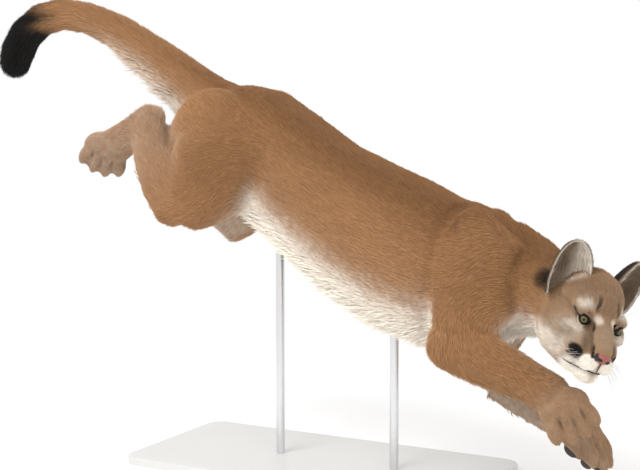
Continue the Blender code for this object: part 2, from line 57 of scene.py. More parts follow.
def add_node(tree, kind, inputs=None, **settings):
    """A node with its settings, and its inputs given as values or as other nodes' outputs."""
    made = tree.nodes.new(kind)
    for key, value in settings.items():
        setattr(made, key, value)
    feed(tree, made.inputs, inputs or {})
    return made


def new_finish(name, values):
    """A material, its tree, and its Principled shader with the values given by name."""
    made = bpy.data.materials.new(name)
    made.use_nodes = True
    shader = made.node_tree.nodes["Principled BSDF"]
    feed(made.node_tree, shader.inputs, values)
    return made, made.node_tree, shader


def plain_object(name, data):
    made = bpy.data.objects.new(name, data)
    scene.collection.objects.link(made)
    return made


FLOOR_HALF = 9.0
FADE_FROM, FADE_TO = 0.7, 2.2
floor_mesh = bpy.data.meshes.new("studio_floor")
floor_corners = [(x * FLOOR_HALF, y * FLOOR_HALF, -0.0006) for x, y in ((-1, -1), (1, -1), (1, 1), (-1, 1))]
floor_mesh.from_pydata(floor_corners, [], [(0, 1, 2, 3)])
studio_floor = plain_object("studio_floor", floor_mesh)
floor_paint, tree, paint = new_finish("floor_paint", {
    "Base Color": (0.97, 0.97, 0.97, 1), "Roughness": 0.9, "Specular IOR Level": 0.1,
})
far_white = add_node(tree, "ShaderNodeEmission", {"Color": (1, 1, 1, 1)})
floor_place = add_node(tree, "ShaderNodeTexCoord").outputs["Object"]
reach = add_node(tree, "ShaderNodeVectorMath", {0: floor_place}, operation="LENGTH").outputs["Value"]
fade = add_node(tree, "ShaderNodeMapRange", {"Value": reach, "From Min": FADE_FROM, "From Max": FADE_TO})
floor_mix = add_node(tree, "ShaderNodeMixShader", {
    0: fade.outputs["Result"], 1: paint.outputs[0], 2: far_white.outputs[0],
})
feed(tree, tree.nodes["Material Output"].inputs, {"Surface": floor_mix.outputs[0]})
floor_mesh.materials.append(floor_paint)

scene.world = bpy.data.worlds.new("studio_white")
scene.world.use_nodes = True
sky = scene.world.node_tree
feed(sky, sky.nodes["Background"].inputs, {"Color": (1, 1, 1, 1), "Strength": 1.0})


def soft_lamp(name, at, aim, size, power):
    lamp = bpy.data.lights.new(name, "AREA")
    lamp.size = size
    lamp.energy = power
    holder = plain_object(name, lamp)
    holder.location = at
    holder.rotation_euler = (Vector(aim) - Vector(at)).to_track_quat("-Z", "Y").to_euler()


soft_lamp("key_lamp", (-0.6, -2.2, 3.0), (0.0, 0.0, 0.6), 1.8, 62)
soft_lamp("fill_lamp", (2.6, -1.8, 1.6), (0.3, 0.0, 0.5), 2.0, 14)

camera_target = Vector((0.0, 0.0, 0.585))
camera_azimuth = math.radians(28)
camera_height = math.radians(4)
camera_distance = 2.75
camera_lens = 61.875
camera_back = Vector((
    math.sin(camera_azimuth) * math.cos(camera_height),
    -math.cos(camera_azimuth) * math.cos(camera_height),
    math.sin(camera_height),
))
camera = plain_object("camera", bpy.data.cameras.new("camera"))
camera.data.sensor_width = 36
camera.data.lens = camera_lens
camera.location = camera_target + camera_back * camera_distance
camera.rotation_euler = (-camera_back).to_track_quat("-Z", "Y").to_euler()
scene.camera = camera


# Skin. One hide over the whole animal: tanned skin drawn over a carved form. The trunk, tail and
# limbs follow the solids, the head and the four feet are carved finer here from the same sizes,
# and all of it is remeshed as one closed surface that lies inside the solids by the coat's depth.
HEAD_AT = Vector((0.707, -0.119, 0.433))
HEAD_TURN, HEAD_NOD, HEAD_ROLL = math.radians(-52.8), math.radians(17.6), math.radians(-20.5)
HEAD_SIZE = 0.965
head_axes = (
    Matrix.Translation(HEAD_AT)
    @ Matrix.Rotation(HEAD_TURN, 4, "Z")
    @ Matrix.Rotation(HEAD_NOD, 4, "Y")
    @ Matrix.Rotation(HEAD_ROLL, 4, "X")
    @ Matrix.Scale(HEAD_SIZE, 4)
)
EYE_AT = (0.045, 0.0405, 0.015)
EYE_RADIUS = 0.0128
CARVED_FROM_SOLIDS = (
    "torso", "neck", "tail_base", "tail_middle", "tail_tip",
    "upper_arm_L", "upper_arm_R", "forearm_L", "forearm_R",
    "hind_thigh_L", "hind_thigh_R", "hind_shank_L", "hind_shank_R", "hind_foot_L", "hind_foot_R",
    "forepaw_L", "forepaw_R",
)
SKIN_CELL = 0.0027
SKIN_TRIANGLES = 185000


def frame_of(along, wide):
    """A frame with X along, Y as near to wide as it can be, and Z square to both."""
    x = Vector(along).normalized()
    y = Vector(wide)
    y = (y - x * x.dot(y)).normalized()
    return Matrix((x, y, x.cross(y))).transposed()


def pitched(degrees):
    return Matrix.Rotation(math.radians(degrees), 3, "Y")


def add_lump(bm, at, radii, turn=None, place=None, sides=24):
    """An ellipsoid of flesh. Its axes are the columns of turn."""
    turn = turn.to_4x4() if turn else Matrix.Identity(4)
    where = Matrix.Translation(Vector(at)) @ turn @ Matrix.Diagonal((*radii, 1))
    if place:
        where = place @ where
    bmesh.ops.create_uvsphere(bm, u_segments=sides, v_segments=sides // 2 + 2, radius=1, matrix=where)


def join_rings(bm, rings):
    """Closes a tube of rings of points, round its sides and at both ends."""
    for a, b in zip(rings, rings[1:]):
        for k in range(len(a)):
            n = (k + 1) % len(a)
            bm.faces.new((a[k], a[n], b[n], b[k]))
    bm.faces.new(rings[0][::-1])
    bm.faces.new(rings[-1])


def add_tube(bm, stations, side=(0, 1, 0), sides=24, fullness=2.3, cap=0.6, place=None):
    """A tube of flesh through stations of (centre, half-depth, half-width), with round ends."""
    place = place or Matrix.Identity(4)
    points = [Vector(s[0]) for s in stations]
    last = len(points) - 1
    rings = []
    for i, (centre, depth, width) in enumerate(stations):
        along = (points[min(i + 1, last)] - points[max(i - 1, 0)]).normalized()
        across = Vector(side)
        across = (across - along * along.dot(across)).normalized()
        upward = along.cross(across)
        slices = [(0.0, 1.0)]
        if i == 0:
            slices = [(-cap, 0.35), (-cap * 0.75, 0.72), (0.0, 1.0)]
        if i == last:
            slices = [(0.0, 1.0), (cap * 0.75, 0.72), (cap, 0.35)]
        for shift, scale in slices:
            middle = points[i] + along * shift * depth
            ring = []
            for k in range(sides):
                turn = 2 * math.pi * k / sides
                c, s = math.cos(turn), math.sin(turn)
                u = math.copysign(abs(c) ** (2 / fullness), c) * width * scale
                v = math.copysign(abs(s) ** (2 / fullness), s) * depth * scale
                ring.append(bm.verts.new(place @ (middle + across * u + upward * v)))
            rings.append(ring)
    join_rings(bm, rings)


def add_head(bm):
    """Skull, cheeks, muzzle, brow and jaw, in the head's own axes: +X along the palate, +Y left."""
    on = head_axes
    add_lump(bm, (-0.038, 0, 0.034), (0.088, 0.069, 0.075), place=on)
    add_lump(bm, (0.004, 0, 0.046), (0.062, 0.052, 0.041), pitched(26), on)
    add_lump(bm, (-0.085, 0, -0.006), (0.06, 0.062, 0.064), place=on)
    add_lump(bm, (-0.04, 0, -0.047), (0.07, 0.052, 0.052), place=on)
    add_tube(bm, [
        ((0.022, 0, 0.016), 0.036, 0.032),
        ((0.06, 0, 0.002), 0.031, 0.0265),
        ((0.09, 0, -0.016), 0.027, 0.0225),
        ((0.11, 0, -0.028), 0.022, 0.0195),
    ], fullness=2.5, cap=0.5, place=on)
    add_tube(bm, [
        ((0.03, 0, -0.034), 0.046, 0.046),
        ((0.066, 0, -0.041), 0.037, 0.04),
        ((0.096, 0, -0.048), 0.0275, 0.035),
        ((0.111, 0, -0.051), 0.0195, 0.028),
    ], fullness=2.3, cap=0.45, place=on)
    add_lump(bm, (0.084, 0, -0.088), (0.034, 0.0285, 0.0205), pitched(-6), on)
    for s in (1, -1):
        add_lump(bm, (-0.02, s * 0.046, -0.026), (0.062, 0.046, 0.058), place=on)
        add_lump(bm, (-0.045, s * 0.04, -0.042), (0.058, 0.046, 0.058), place=on)
        add_lump(bm, (0.006, s * 0.058, -0.004), (0.05, 0.022, 0.025), pitched(8), on)
        add_lump(bm, (0.093, s * 0.021, -0.053), (0.031, 0.024, 0.0215), pitched(10), on)
        add_lump(bm, (0.052, s * 0.03, -0.038), (0.044, 0.03, 0.034), place=on)
        add_lump(bm, (0.04, s * 0.044, -0.008), (0.024, 0.019, 0.014), pitched(20), on)
        add_lump(bm, (0.026, s * 0.045, 0.031), (0.027, 0.022, 0.013), pitched(18), on)
        add_tube(bm, [
            ((-0.03, s * 0.046, -0.07), 0.031, 0.027),
            ((0.015, s * 0.034, -0.08), 0.024, 0.023),
            ((0.062, s * 0.02, -0.087), 0.019, 0.019),
        ], place=on)


# Each foot is (ankle, the way it points, the way its toes stand side by side, length, width, curl).
FEET = {
    "forepaw_R": ((0.641, -0.118, 0.268), (0.54, -0.1, -0.84), (0.84, 0.42, 0.34), 0.11, 0.131, 0.04),
    "forepaw_L": ((0.612, 0.078, 0.164), (0.8, -0.12, -0.58), (0.1, 1.0, 0.0), 0.144, 0.13, 0.1),
    "hind_foot_R": ((-0.562, -0.116, 0.831), (-0.36, -0.08, -0.92), (0.8, 0.5, -0.3), 0.106, 0.138, 0.04),
    "hind_foot_L": ((-0.492, 0.1, 0.684), (0.24, 0.02, -0.97), (0.15, 1.0, 0.0), 0.094, 0.096, 0.06),
}
TOE_REACH = (0.86, 1.0, 1.0, 0.86)
TOE_SPACING = 0.208


def toes_of(ankle, along, wide, length, width, curl):
    """The knuckle and tip of each of four toes, and the foot's frame with the sole's way."""
    axes = frame_of(along, wide)
    lengthwise, across, under = axes.col[0].copy(), axes.col[1].copy(), -axes.col[2]
    places = []
    for k, reach in enumerate(TOE_REACH):
        offset = (k - 1.5) * width * TOE_SPACING
        knuckle = Vector(ankle) + lengthwise * length * 0.48 * reach + across * offset * 0.92
        knuckle -= under * width * 0.06
        tip = Vector(ankle) + lengthwise * length * 0.84 * reach + across * offset * 1.12
        tip += under * width * curl
        places.append((knuckle, tip))
    return axes, lengthwise, across, under, places


def add_foot(bm, ankle, along, wide, length, width, curl):
    axes, lengthwise, across, under, places = toes_of(ankle, along, wide, length, width, curl)
    block = (length * 0.42, width * 0.44, width * 0.33)
    add_lump(bm, Vector(ankle) + lengthwise * length * 0.3, block, axes)
    for knuckle, tip in places:
        reach = (tip - knuckle).length
        toe = frame_of(tip - knuckle, across)
        flesh = (reach * 0.62 + width * 0.1, width * 0.136, width * 0.168)
        add_lump(bm, (knuckle + tip) / 2, flesh, toe, sides=18)
    heel = Vector(ankle) + lengthwise * length * 0.4 + under * width * 0.26
    add_lump(bm, heel, (width * 0.22, width * 0.27, width * 0.12), axes, sides=18)


def object_from(bm, name, smooth=True):
    """A plain object from a finished form."""
    mesh = bpy.data.meshes.new(name)
    bm.to_mesh(mesh)
    bm.free()
    if smooth:
        mesh.shade_smooth()
    return plain_object(name, mesh)


def settled(obj):
    """Makes the result of an object's modifiers its own plain mesh."""
    bpy.context.view_layer.update()
    mesh = bpy.data.meshes.new_from_object(obj.evaluated_get(bpy.context.evaluated_depsgraph_get()))
    obj.modifiers.clear()
    obj.data = mesh
    return obj


flesh_form = bmesh.new()
for node in CARVED_FROM_SOLIDS:
    flesh_form.from_mesh(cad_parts[node].data)
bmesh.ops.remove_doubles(flesh_form, verts=flesh_form.verts, dist=0.00002)
add_head(flesh_form)
for foot in FEET.values():
    add_foot(flesh_form, *foot)
skin = object_from(flesh_form, "skin", smooth=False)
one_hide = skin.modifiers.new("one_hide", "REMESH")
one_hide.mode = "VOXEL"
one_hide.voxel_size = SKIN_CELL
settled(skin)


def read(rows, field, width=1, kind=float):
    """One field of a mesh's points, edges, faces or corners, as an array."""
    flat = np.zeros(len(rows) * width, kind)
    rows.foreach_get(field, flat)
    return flat.reshape(-1, width) if width > 1 else flat


def points_of(mesh):
    return read(mesh.vertices, "co", 3)


def normals_of(mesh):
    return read(mesh.vertex_normals, "vector", 3)


def edges_of(mesh):
    return read(mesh.edges, "vertices", 2, int)


def move_points(mesh, co):
    mesh.vertices.foreach_set("co", co.ravel())
    mesh.update()


def evened(values, edges, times, share):
    """Each value moves towards the mean of its neighbours, times over, by its own share."""
    count = np.bincount(edges.ravel(), minlength=len(values)).astype(float)[:, None]
    count[count == 0] = 1
    for _ in range(times):
        total = np.zeros_like(values)
        for axis in range(values.shape[1]):
            total[:, axis] = np.bincount(edges[:, 0], values[edges[:, 1], axis], len(values))
            total[:, axis] += np.bincount(edges[:, 1], values[edges[:, 0], axis], len(values))
        values = values + (total / count - values) * share
    return values


def step(value, low, high):
    """0 below low, 1 above high, and smooth between them."""
    t = np.clip((value - low) / (high - low), 0, 1)
    return t * t * (3 - 2 * t)


def in_head(points):
    """Points in the head's own axes."""
    back = np.array(head_axes.inverted())
    return points @ back[:3, :3].T + back[:3, 3]


def on_face(points):
    """1 on the head in front of the nape, 0 on the rest."""
    h = in_head(points)
    away = np.linalg.norm((h - (0.02, 0, -0.01)) / (1.15, 1.0, 1.1), axis=1)
    return 1 - step(away, 0.098, 0.128)


def on_feet(points):
    share = np.zeros(len(points))
    for ankle, along, wide, length, width, curl in FEET.values():
        middle = Vector(ankle) + Vector(along).normalized() * length * 0.5
        away = np.linalg.norm(points - np.array(middle), axis=1)
        share = np.maximum(share, 1 - step(away, 0.06, 0.112))
    return share


def near_path(points, path):
    """Distance to a path of points, the path's way there, and the share of its length gone by."""
    path = [np.array(p, float) for p in path]
    total = sum(np.linalg.norm(b - a) for a, b in zip(path, path[1:]))
    away = np.full(len(points), 9.0)
    way = np.zeros((len(points), 3))
    gone = np.zeros(len(points))
    nearest = np.zeros((len(points), 3))
    done = 0.0
    for a, b in zip(path, path[1:]):
        run = b - a
        long = np.linalg.norm(run)
        if long == 0:
            continue
        t = np.clip(((points - a) @ run) / (long * long), 0, 1)
        spot = a + t[:, None] * run
        d = np.linalg.norm(points - spot, axis=1)
        closer = d < away
        away[closer] = d[closer]
        way[closer] = run / long
        gone[closer] = (done + t[closer] * long) / total
        nearest[closer] = spot[closer]
        done += long
    return away, way, gone, nearest


co = points_of(skin.data)
edges = edges_of(skin.data)
face_share = on_face(co)
feet_share = on_feet(co)
fine = np.maximum(face_share, feet_share)
co = evened(co, edges, 22, (0.5 * (1 - fine))[:, None])
co = evened(co, edges, 5, (0.5 * fine)[:, None])
move_points(skin.data, co)

COAT_DEPTH = 0.0042
FACE_COAT_DEPTH = 0.0014
FOOT_COAT_DEPTH = 0.0016
depth = COAT_DEPTH + (FACE_COAT_DEPTH - COAT_DEPTH) * face_share
depth += (FOOT_COAT_DEPTH - COAT_DEPTH) * feet_share
co = co - normals_of(skin.data) * np.maximum(depth, FACE_COAT_DEPTH)[:, None]


def mirrored(path, s):
    return [(x, s * y, z) for x, y, z in path]


def groove(points, normals, path, width, deep, place=None):
    """Presses a soft groove along a path, or raises a ridge where deep is below nought."""
    where = in_head(points) if place == "head" else points
    away = near_path(where, path)[0]
    return points - normals * (deep * np.exp(-(away / width) ** 2))[:, None]


# Folds of the face: the line of the mouth, the groove under the nose, the hollow beside the
# bridge of the nose, and the furrow down the forehead.
MOUTH_PATH = [
    (0.05, 0.046, -0.0838), (0.058, 0.042, -0.083), (0.068, 0.038, -0.0815), (0.086, 0.031, -0.0775),
    (0.102, 0.022, -0.0732), (0.114, 0.01, -0.0702), (0.1165, 0.0, -0.0698),
]
FACE_FOLDS = (
    (MOUTH_PATH, 0.0032, 0.0042),
    ([(0.062, 0.027, 0.01), (0.074, 0.03, -0.012), (0.082, 0.029, -0.028)], 0.011, 0.0035),
    ([(0.06, 0.03, 0.012), (0.05, 0.036, 0.014)], 0.011, 0.004),
    ([(0.045, 0.052, -0.03), (0.06, 0.046, -0.05)], 0.014, 0.003),
)
move_points(skin.data, co)
out = normals_of(skin.data)
for s in (1, -1):
    for path, width, deep in FACE_FOLDS:
        co = groove(co, out, mirrored(path, s), width, deep, "head")
co = groove(co, out, [(0.125, 0, -0.046), (0.124, 0, -0.068)], 0.003, 0.0045, "head")
co = groove(co, out, [(0.03, 0, 0.06), (0.05, 0, 0.044)], 0.01, 0.002, "head")

# Folds of the body: the hind edge of the shoulder with the muscle before it, the crease between
# neck and shoulder, the fold in front of the thigh, the crease at the hock, and the toes' gaps.
BODY_FOLDS = (
    ([
        (0.4, 0.045, 0.668), (0.384, 0.08, 0.642), (0.37, 0.106, 0.598), (0.36, 0.117, 0.547),
        (0.347, 0.118, 0.479), (0.33, 0.095, 0.4),
    ], 0.013, 0.0068),
    ([(0.418, 0.086, 0.625), (0.405, 0.118, 0.57), (0.392, 0.128, 0.5)], 0.022, -0.004),
    ([
        (0.553, 0.096, 0.556), (0.543, 0.111, 0.522), (0.541, 0.114, 0.478), (0.545, 0.095, 0.43),
    ], 0.015, 0.0036),
    ([(-0.078, 0.114, 0.79), (-0.103, 0.112, 0.723), (-0.13, 0.098, 0.668)], 0.016, 0.005),
    ([(-0.396, 0.098, 0.846), (-0.386, 0.108, 0.806)], 0.01, 0.005),
    ([(0.48, 0.13, 0.395), (0.45, 0.15, 0.405), (0.425, 0.15, 0.425)], 0.012, 0.004),
    ([(0.25, 0.1, 0.69), (0.12, 0.11, 0.73), (0.0, 0.105, 0.79)], 0.03, 0.003),
)
for path, width, deep in BODY_FOLDS:
    for s in (1, -1):
        co = groove(co, out, mirrored(path, s), width, deep)
for foot in FEET.values():
    axes, lengthwise, across, under, places = toes_of(*foot)
    width = foot[4]
    for (knuckle, tip), (next_knuckle, next_tip) in zip(places, places[1:]):
        top = -under * width * 0.16
        path = [(knuckle + next_knuckle) / 2 + top, (tip + next_tip) / 2 + top + lengthwise * width * 0.08]
        co = groove(co, out, path, 0.0068, 0.0085)
move_points(skin.data, co)

thin_where = skin.vertex_groups.new(name="may_thin")
for low in range(10):
    chosen = np.flatnonzero((fine * 10).astype(int).clip(0, 9) == low)
    thin_where.add(chosen.tolist(), 1 - low / 10, "REPLACE")
thinner = skin.modifiers.new("thinner", "DECIMATE")
thinner.ratio = min(1.0, SKIN_TRIANGLES / (2 * len(skin.data.polygons)))
thinner.vertex_group = "may_thin"
thinner.vertex_group_factor = 1.0
settled(skin)
skin.vertex_groups.clear()
skin.data.shade_smooth()


# Lie of the coat. The hair runs back from the nose over the head and trunk to the tip of the
# tail, and down each leg to the toes. Each stretch is a path with how thick the body is round it,
# and the skin keeps, at each point, the way the hair lies, its length, width, lift and closeness.
LIE_PATHS = {
    "neck": (0.1, [(0.66, -0.08, 0.45), (0.6, -0.035, 0.472), (0.5, -0.004, 0.5), (0.44, 0, 0.505)]),
    "chest": (0.15, [(0.44, 0, 0.505), (0.33, 0, 0.512), (0.25, 0, 0.54)]),
    "flank": (0.15, [(0.25, 0, 0.54), (0.12, 0, 0.605), (0.03, 0, 0.66)]),
    "loin": (0.15, [(0.03, 0, 0.66), (-0.105, 0, 0.757), (-0.185, 0, 0.81)]),
    "rump": (0.12, [(-0.185, 0, 0.81), (-0.26, 0, 0.85), (-0.32, 0, 0.9)]),
    "tail": (0.045, [
        (-0.34, 0, 0.925), (-0.392, 0, 0.968), (-0.487, 0, 1.037), (-0.618, 0, 1.119), (-0.725, 0, 1.163),
        (-0.815, 0, 1.181), (-0.89, 0, 1.171), (-0.953, 0, 1.134), (-0.99, 0, 1.082), (-1.002, 0, 1.03),
    ]),
    "foreleg_R": (0.05, [
        (0.452, -0.092, 0.56), (0.425, -0.108, 0.43), (0.44, -0.114, 0.35), (0.632, -0.116, 0.268),
        (0.69, -0.126, 0.18),
    ]),
    "foreleg_L": (0.05, [
        (0.452, 0.092, 0.54), (0.42, 0.108, 0.38), (0.44, 0.11, 0.27), (0.612, 0.078, 0.166),
        (0.7, 0.066, 0.1),
    ]),
    "hind_leg_R": (0.07, [
        (-0.19, -0.08, 0.8), (-0.25, -0.104, 0.7), (-0.34, -0.118, 0.66), (-0.42, -0.115, 0.78),
        (-0.47, -0.108, 0.865), (-0.562, -0.116, 0.825), (-0.6, -0.126, 0.74),
    ]),
    "hind_leg_L": (0.07, [
        (-0.19, 0.08, 0.79), (-0.26, 0.104, 0.68), (-0.37, 0.118, 0.61), (-0.455, 0.112, 0.74),
        (-0.495, 0.103, 0.78), (-0.49, 0.1, 0.67), (-0.455, 0.1, 0.58),
    ]),
}
REGIONS = ["head"] + list(LIE_PATHS)
TRUNK = ("neck", "chest", "flank", "loin", "rump")
SPINE = [point for name in (*TRUNK, "tail") for point in LIE_PATHS[name][1]]
NOSE_AT = (0.124, 0.0, -0.036)


def unit(vectors):
    return vectors / np.maximum(np.linalg.norm(vectors, axis=1), 1e-9)[:, None]


def spot(points, at, radii, soft=0.5):
    """1 inside an ellipsoid and 0 outside it, with a soft edge."""
    away = np.linalg.norm((points - np.array(at)) / np.array(radii), axis=1)
    return 1 - step(away, 1 - soft, 1 + soft)


def streak(points, path, width):
    """1 on a path and 0 further from it than its width."""
    return 1 - step(near_path(points, path)[0], width * 0.45, width)


def pads_of(ankle, along, wide, length, width, curl):
    """The middle and size of each pad under a foot: four toes and three lobes of the heel."""
    axes, lengthwise, across, under, places = toes_of(ankle, along, wide, length, width, curl)
    pads = []
    for knuckle, tip in places:
        at = tip + under * width * 0.092 - lengthwise * length * 0.035
        pads.append((at, (width * 0.115, width * 0.09, width * 0.08)))
    heel = Vector(ankle) + lengthwise * length * 0.4 + under * width * 0.27
    for shift, back in ((-0.15, 0.05), (0.0, 0.0), (0.15, 0.05)):
        at = heel + across * width * shift - lengthwise * width * back
        pads.append((at, (width * 0.165, width * 0.12, width * 0.125)))
    return axes, pads


EAR_FOOT = [(-0.078, 0.078, 0.04), (-0.05, 0.074, 0.056), (-0.026, 0.06, 0.078), (-0.022, 0.05, 0.09)]
PADS = [(at, radii[0]) for foot in FEET.values() for at, radii in pads_of(*foot)[1]]


def lie_of(points, out):
    """For each point: the way its hair lies, the region it belongs to, and how far down its
    region's path it is."""
    total = np.zeros((len(points), 3))
    best = np.full(len(points), 9.0)
    region = np.zeros(len(points), int)
    gone_by = np.zeros(len(points))
    for number, (name, (thick, path)) in enumerate(LIE_PATHS.items(), 1):
        away, way, gone, nearest = near_path(points, path)
        clear = np.maximum(away - thick, 0) + 0.008
        total += way / (clear ** 3)[:, None]
        closer = clear + 0.2 * away < best
        best[closer] = (clear + 0.2 * away)[closer]
        region[closer] = number
        gone_by[closer] = gone[closer]
    lie = unit(total)
    face = on_face(points)
    from_nose = unit(in_head(points) - np.array(NOSE_AT)) @ np.array(head_axes)[:3, :3].T
    lie = unit(lie * (1 - face)[:, None] + unit(from_nose) * face[:, None])
    region[face > 0.5] = 0
    lie = unit(lie - out * (lie * out).sum(1)[:, None])
    return lie, region, gone_by


def height_on_trunk(points):
    """From -1 along the belly to 1 along the back."""
    away, way, gone, nearest = near_path(points, SPINE)
    upward = np.stack([-way[:, 2], np.zeros(len(way)), way[:, 0]], axis=1)
    upward *= np.sign(upward[:, 2])[:, None]
    upward = unit(upward)
    thick = np.maximum(away, 0.02)
    return ((points - nearest) * upward).sum(1) / thick


def among(region, *names):
    return np.isin(region, [REGIONS.index(name) for name in names])


# Each mark of the coat: its kind, how strong it is, how soft or wide, and where. Marks off the
# middle are mirrored, and those of the face are in the head's own axes.
BODY_SPOTS = (
    ("deep", 0.4, 0.8, (-0.17, 0.14, 0.74), (0.1, 0.1, 0.13)),
    ("deep", 0.3, 0.8, (0.47, 0.12, 0.52), (0.06, 0.08, 0.1)),
)
FACE_SPOTS = (
    ("pale", 1.0, 0.35, (0.03, 0, -0.105), (0.085, 0.04, 0.03)),
    ("pale", 1.0, 0.2, (0.114, 0.024, -0.052), (0.017, 0.022, 0.018)),
    ("pale", 1.0, 0.25, (0.1, 0.018, -0.062), (0.024, 0.026, 0.014)),
    ("pale", 1.0, 0.25, (0.075, 0.02, -0.088), (0.05, 0.034, 0.024)),
    ("pale", 0.62, 0.6, (0.034, 0.046, 0.042), (0.016, 0.019, 0.012)),
    ("pale", 0.62, 0.55, (0.064, 0.018, 0.026), (0.013, 0.009, 0.009)),
    ("pale", 0.6, 0.5, (0.045, 0.052, -0.004), (0.02, 0.02, 0.009)),
    ("pale", 0.16, 0.65, (0.04, 0.058, -0.024), (0.05, 0.036, 0.034)),
    ("pale", 0.75, 0.55, (0.0, 0.064, -0.066), (0.055, 0.036, 0.03)),
    ("grey", 0.85, 0.6, (0.04, 0.056, -0.024), (0.045, 0.034, 0.03)),
    ("grey", 0.45, 0.6, (0.02, 0.04, 0.05), (0.045, 0.04, 0.03)),
    ("grey", 0.65, 0.5, (0.085, 0, 0.0), (0.045, 0.026, 0.036)),
    ("deep", 0.55, 0.5, (0.075, 0, 0.008), (0.06, 0.024, 0.045)),
    ("dark", 1.0, 0.22, (0.084, 0.046, -0.045), (0.02, 0.019, 0.0145)),
    ("dark", 0.92, 0.45, (-0.096, 0.086, 0.03), (0.024, 0.024, 0.026)),
)
FACE_STREAKS = (
    ("dark", 0.95, 0.0045, [(0.08, 0.046, -0.052), (0.056, 0.044, -0.064)]),
    ("dark", 0.95, 0.0045, [(0.086, 0.044, -0.054), (0.062, 0.04, -0.073)]),
    ("dark", 0.95, 0.0045, [(0.096, 0.04, -0.052), (0.08, 0.038, -0.066)]),
    ("dark", 0.5, 0.0085, [
        (0.06, 0.022, 0.013), (0.07, 0.024, -0.001), (0.087, 0.026, -0.014), (0.102, 0.023, -0.026),
    ]),
    ("dark", 0.95, 0.0052, [(0.099, 0.0215, -0.02), (0.106, 0.0215, -0.029), (0.112, 0.02, -0.037)]),
    ("dark", 1.0, 0.0078, [(0.055, 0.032, 0.013), (0.062, 0.024, 0.0115), (0.068, 0.022, 0.0045)]),
    ("dark", 0.95, 0.0046, [(0.045, 0.051, 0.019), (0.04, 0.056, 0.0235), (0.034, 0.062, 0.027)]),
    ("dark", 0.7, 0.0055, [(0.052, 0.024, 0.043), (0.047, 0.023, 0.054), (0.04, 0.021, 0.063)]),
    ("dark", 0.9, 0.0034, MOUTH_PATH),
    ("pale", 0.42, 0.014, EAR_FOOT),
    ("deep", 0.7, 0.0055, [
        (0.074, 0.01, 0.026), (0.04, 0.013, 0.062), (0.004, 0.014, 0.092), (-0.034, 0.016, 0.103),
    ]),
    ("deep", 0.85, 0.006, [(0.056, 0, 0.045), (0.026, 0, 0.08), (-0.03, 0, 0.105)]),
)
SMOKE_PATH = [(0.068, 0.028, 0.0), (0.08, 0.032, -0.014), (0.092, 0.034, -0.032)]


def coat_marks(points, out, region, gone_by):
    """How white, black, deep brown and grey the coat is at each point."""
    h = in_head(points)
    face, feet = on_face(points), on_feet(points)
    height = height_on_trunk(points)
    trunk, tail = among(region, *TRUNK), among(region, "tail")
    legs, hind_legs = region >= REGIONS.index("foreleg_R"), region >= REGIONS.index("hind_leg_R")
    inner = out[:, 1] * np.sign(points[:, 1])
    wander = 0.05 * np.sin(points[:, 0] * 41) + 0.04 * np.sin(points[:, 0] * 97 + points[:, 2] * 60)
    marks = {
        "pale": np.minimum(1.15 * trunk * step(-height + wander, 0.58, 0.72), 1.0),
        "dark": tail * step(gone_by + 0.03 * np.sin(points[:, 2] * 130), 0.64, 0.8),
        "deep": (0.95 * trunk + 0.6 * tail) * step(height, 0.45, 0.98),
        "grey": 0.2 * feet,
    }

    def mark(kind, share):
        marks[kind] = np.maximum(marks[kind], share)

    mark("pale", 0.7 * tail * step(-height, 0.25, 0.85) * (1 - step(gone_by, 0.22, 0.55)))
    mark("pale", 0.14 * hind_legs * step(gone_by, 0.3, 0.7))
    mark("pale", 0.42 * legs * step(-inner, 0.1, 0.8) * (1 - 0.75 * feet))
    mark("pale", 0.05 * feet)
    mark("deep", legs * (0.16 + 0.1 * hind_legs) * step(gone_by, 0.25, 0.6))
    mark("deep", (0.1 + 0.24 * hind_legs) * feet)
    mark("deep", face * 0.6 * step(h[:, 2], 0.02, 0.07))
    mark("deep", 0.22 * face)
    mark("grey", 0.35 * face)
    # Painted shade: deep brown laid along the clefts between the toes, over the grooves pressed into the
    # skin there.
    for foot in FEET.values():
        axes, lengthwise, across, under, places = toes_of(*foot)
        for (knuckle, tip), (next_knuckle, next_tip) in zip(places, places[1:]):
            shaded_toe_gap = [(knuckle + next_knuckle) / 2 - under * foot[4] * 0.1, (tip + next_tip) / 2]
            shaded_toe_gap.append(shaded_toe_gap[1] + under * foot[4] * 0.1 + lengthwise * foot[4] * 0.08)
            mark("deep", 0.95 * streak(points, shaded_toe_gap, 0.0075))
    for s in (1, -1):
        for where, table in ((points, BODY_SPOTS), (h, FACE_SPOTS)):
            for kind, share, soft, (x, y, z), radii in table:
                mark(kind, share * spot(where, (x, s * y, z), radii, soft))
        for kind, share, width, path in FACE_STREAKS:
            mark(kind, share * streak(h, mirrored(path, s), width))
        mark("dark", 0.46 * (1 - step(near_path(h, mirrored(SMOKE_PATH, s))[0], 0.002, 0.017)))
    marks["pale"] = marks["pale"] * (1 - marks["dark"])
    return marks


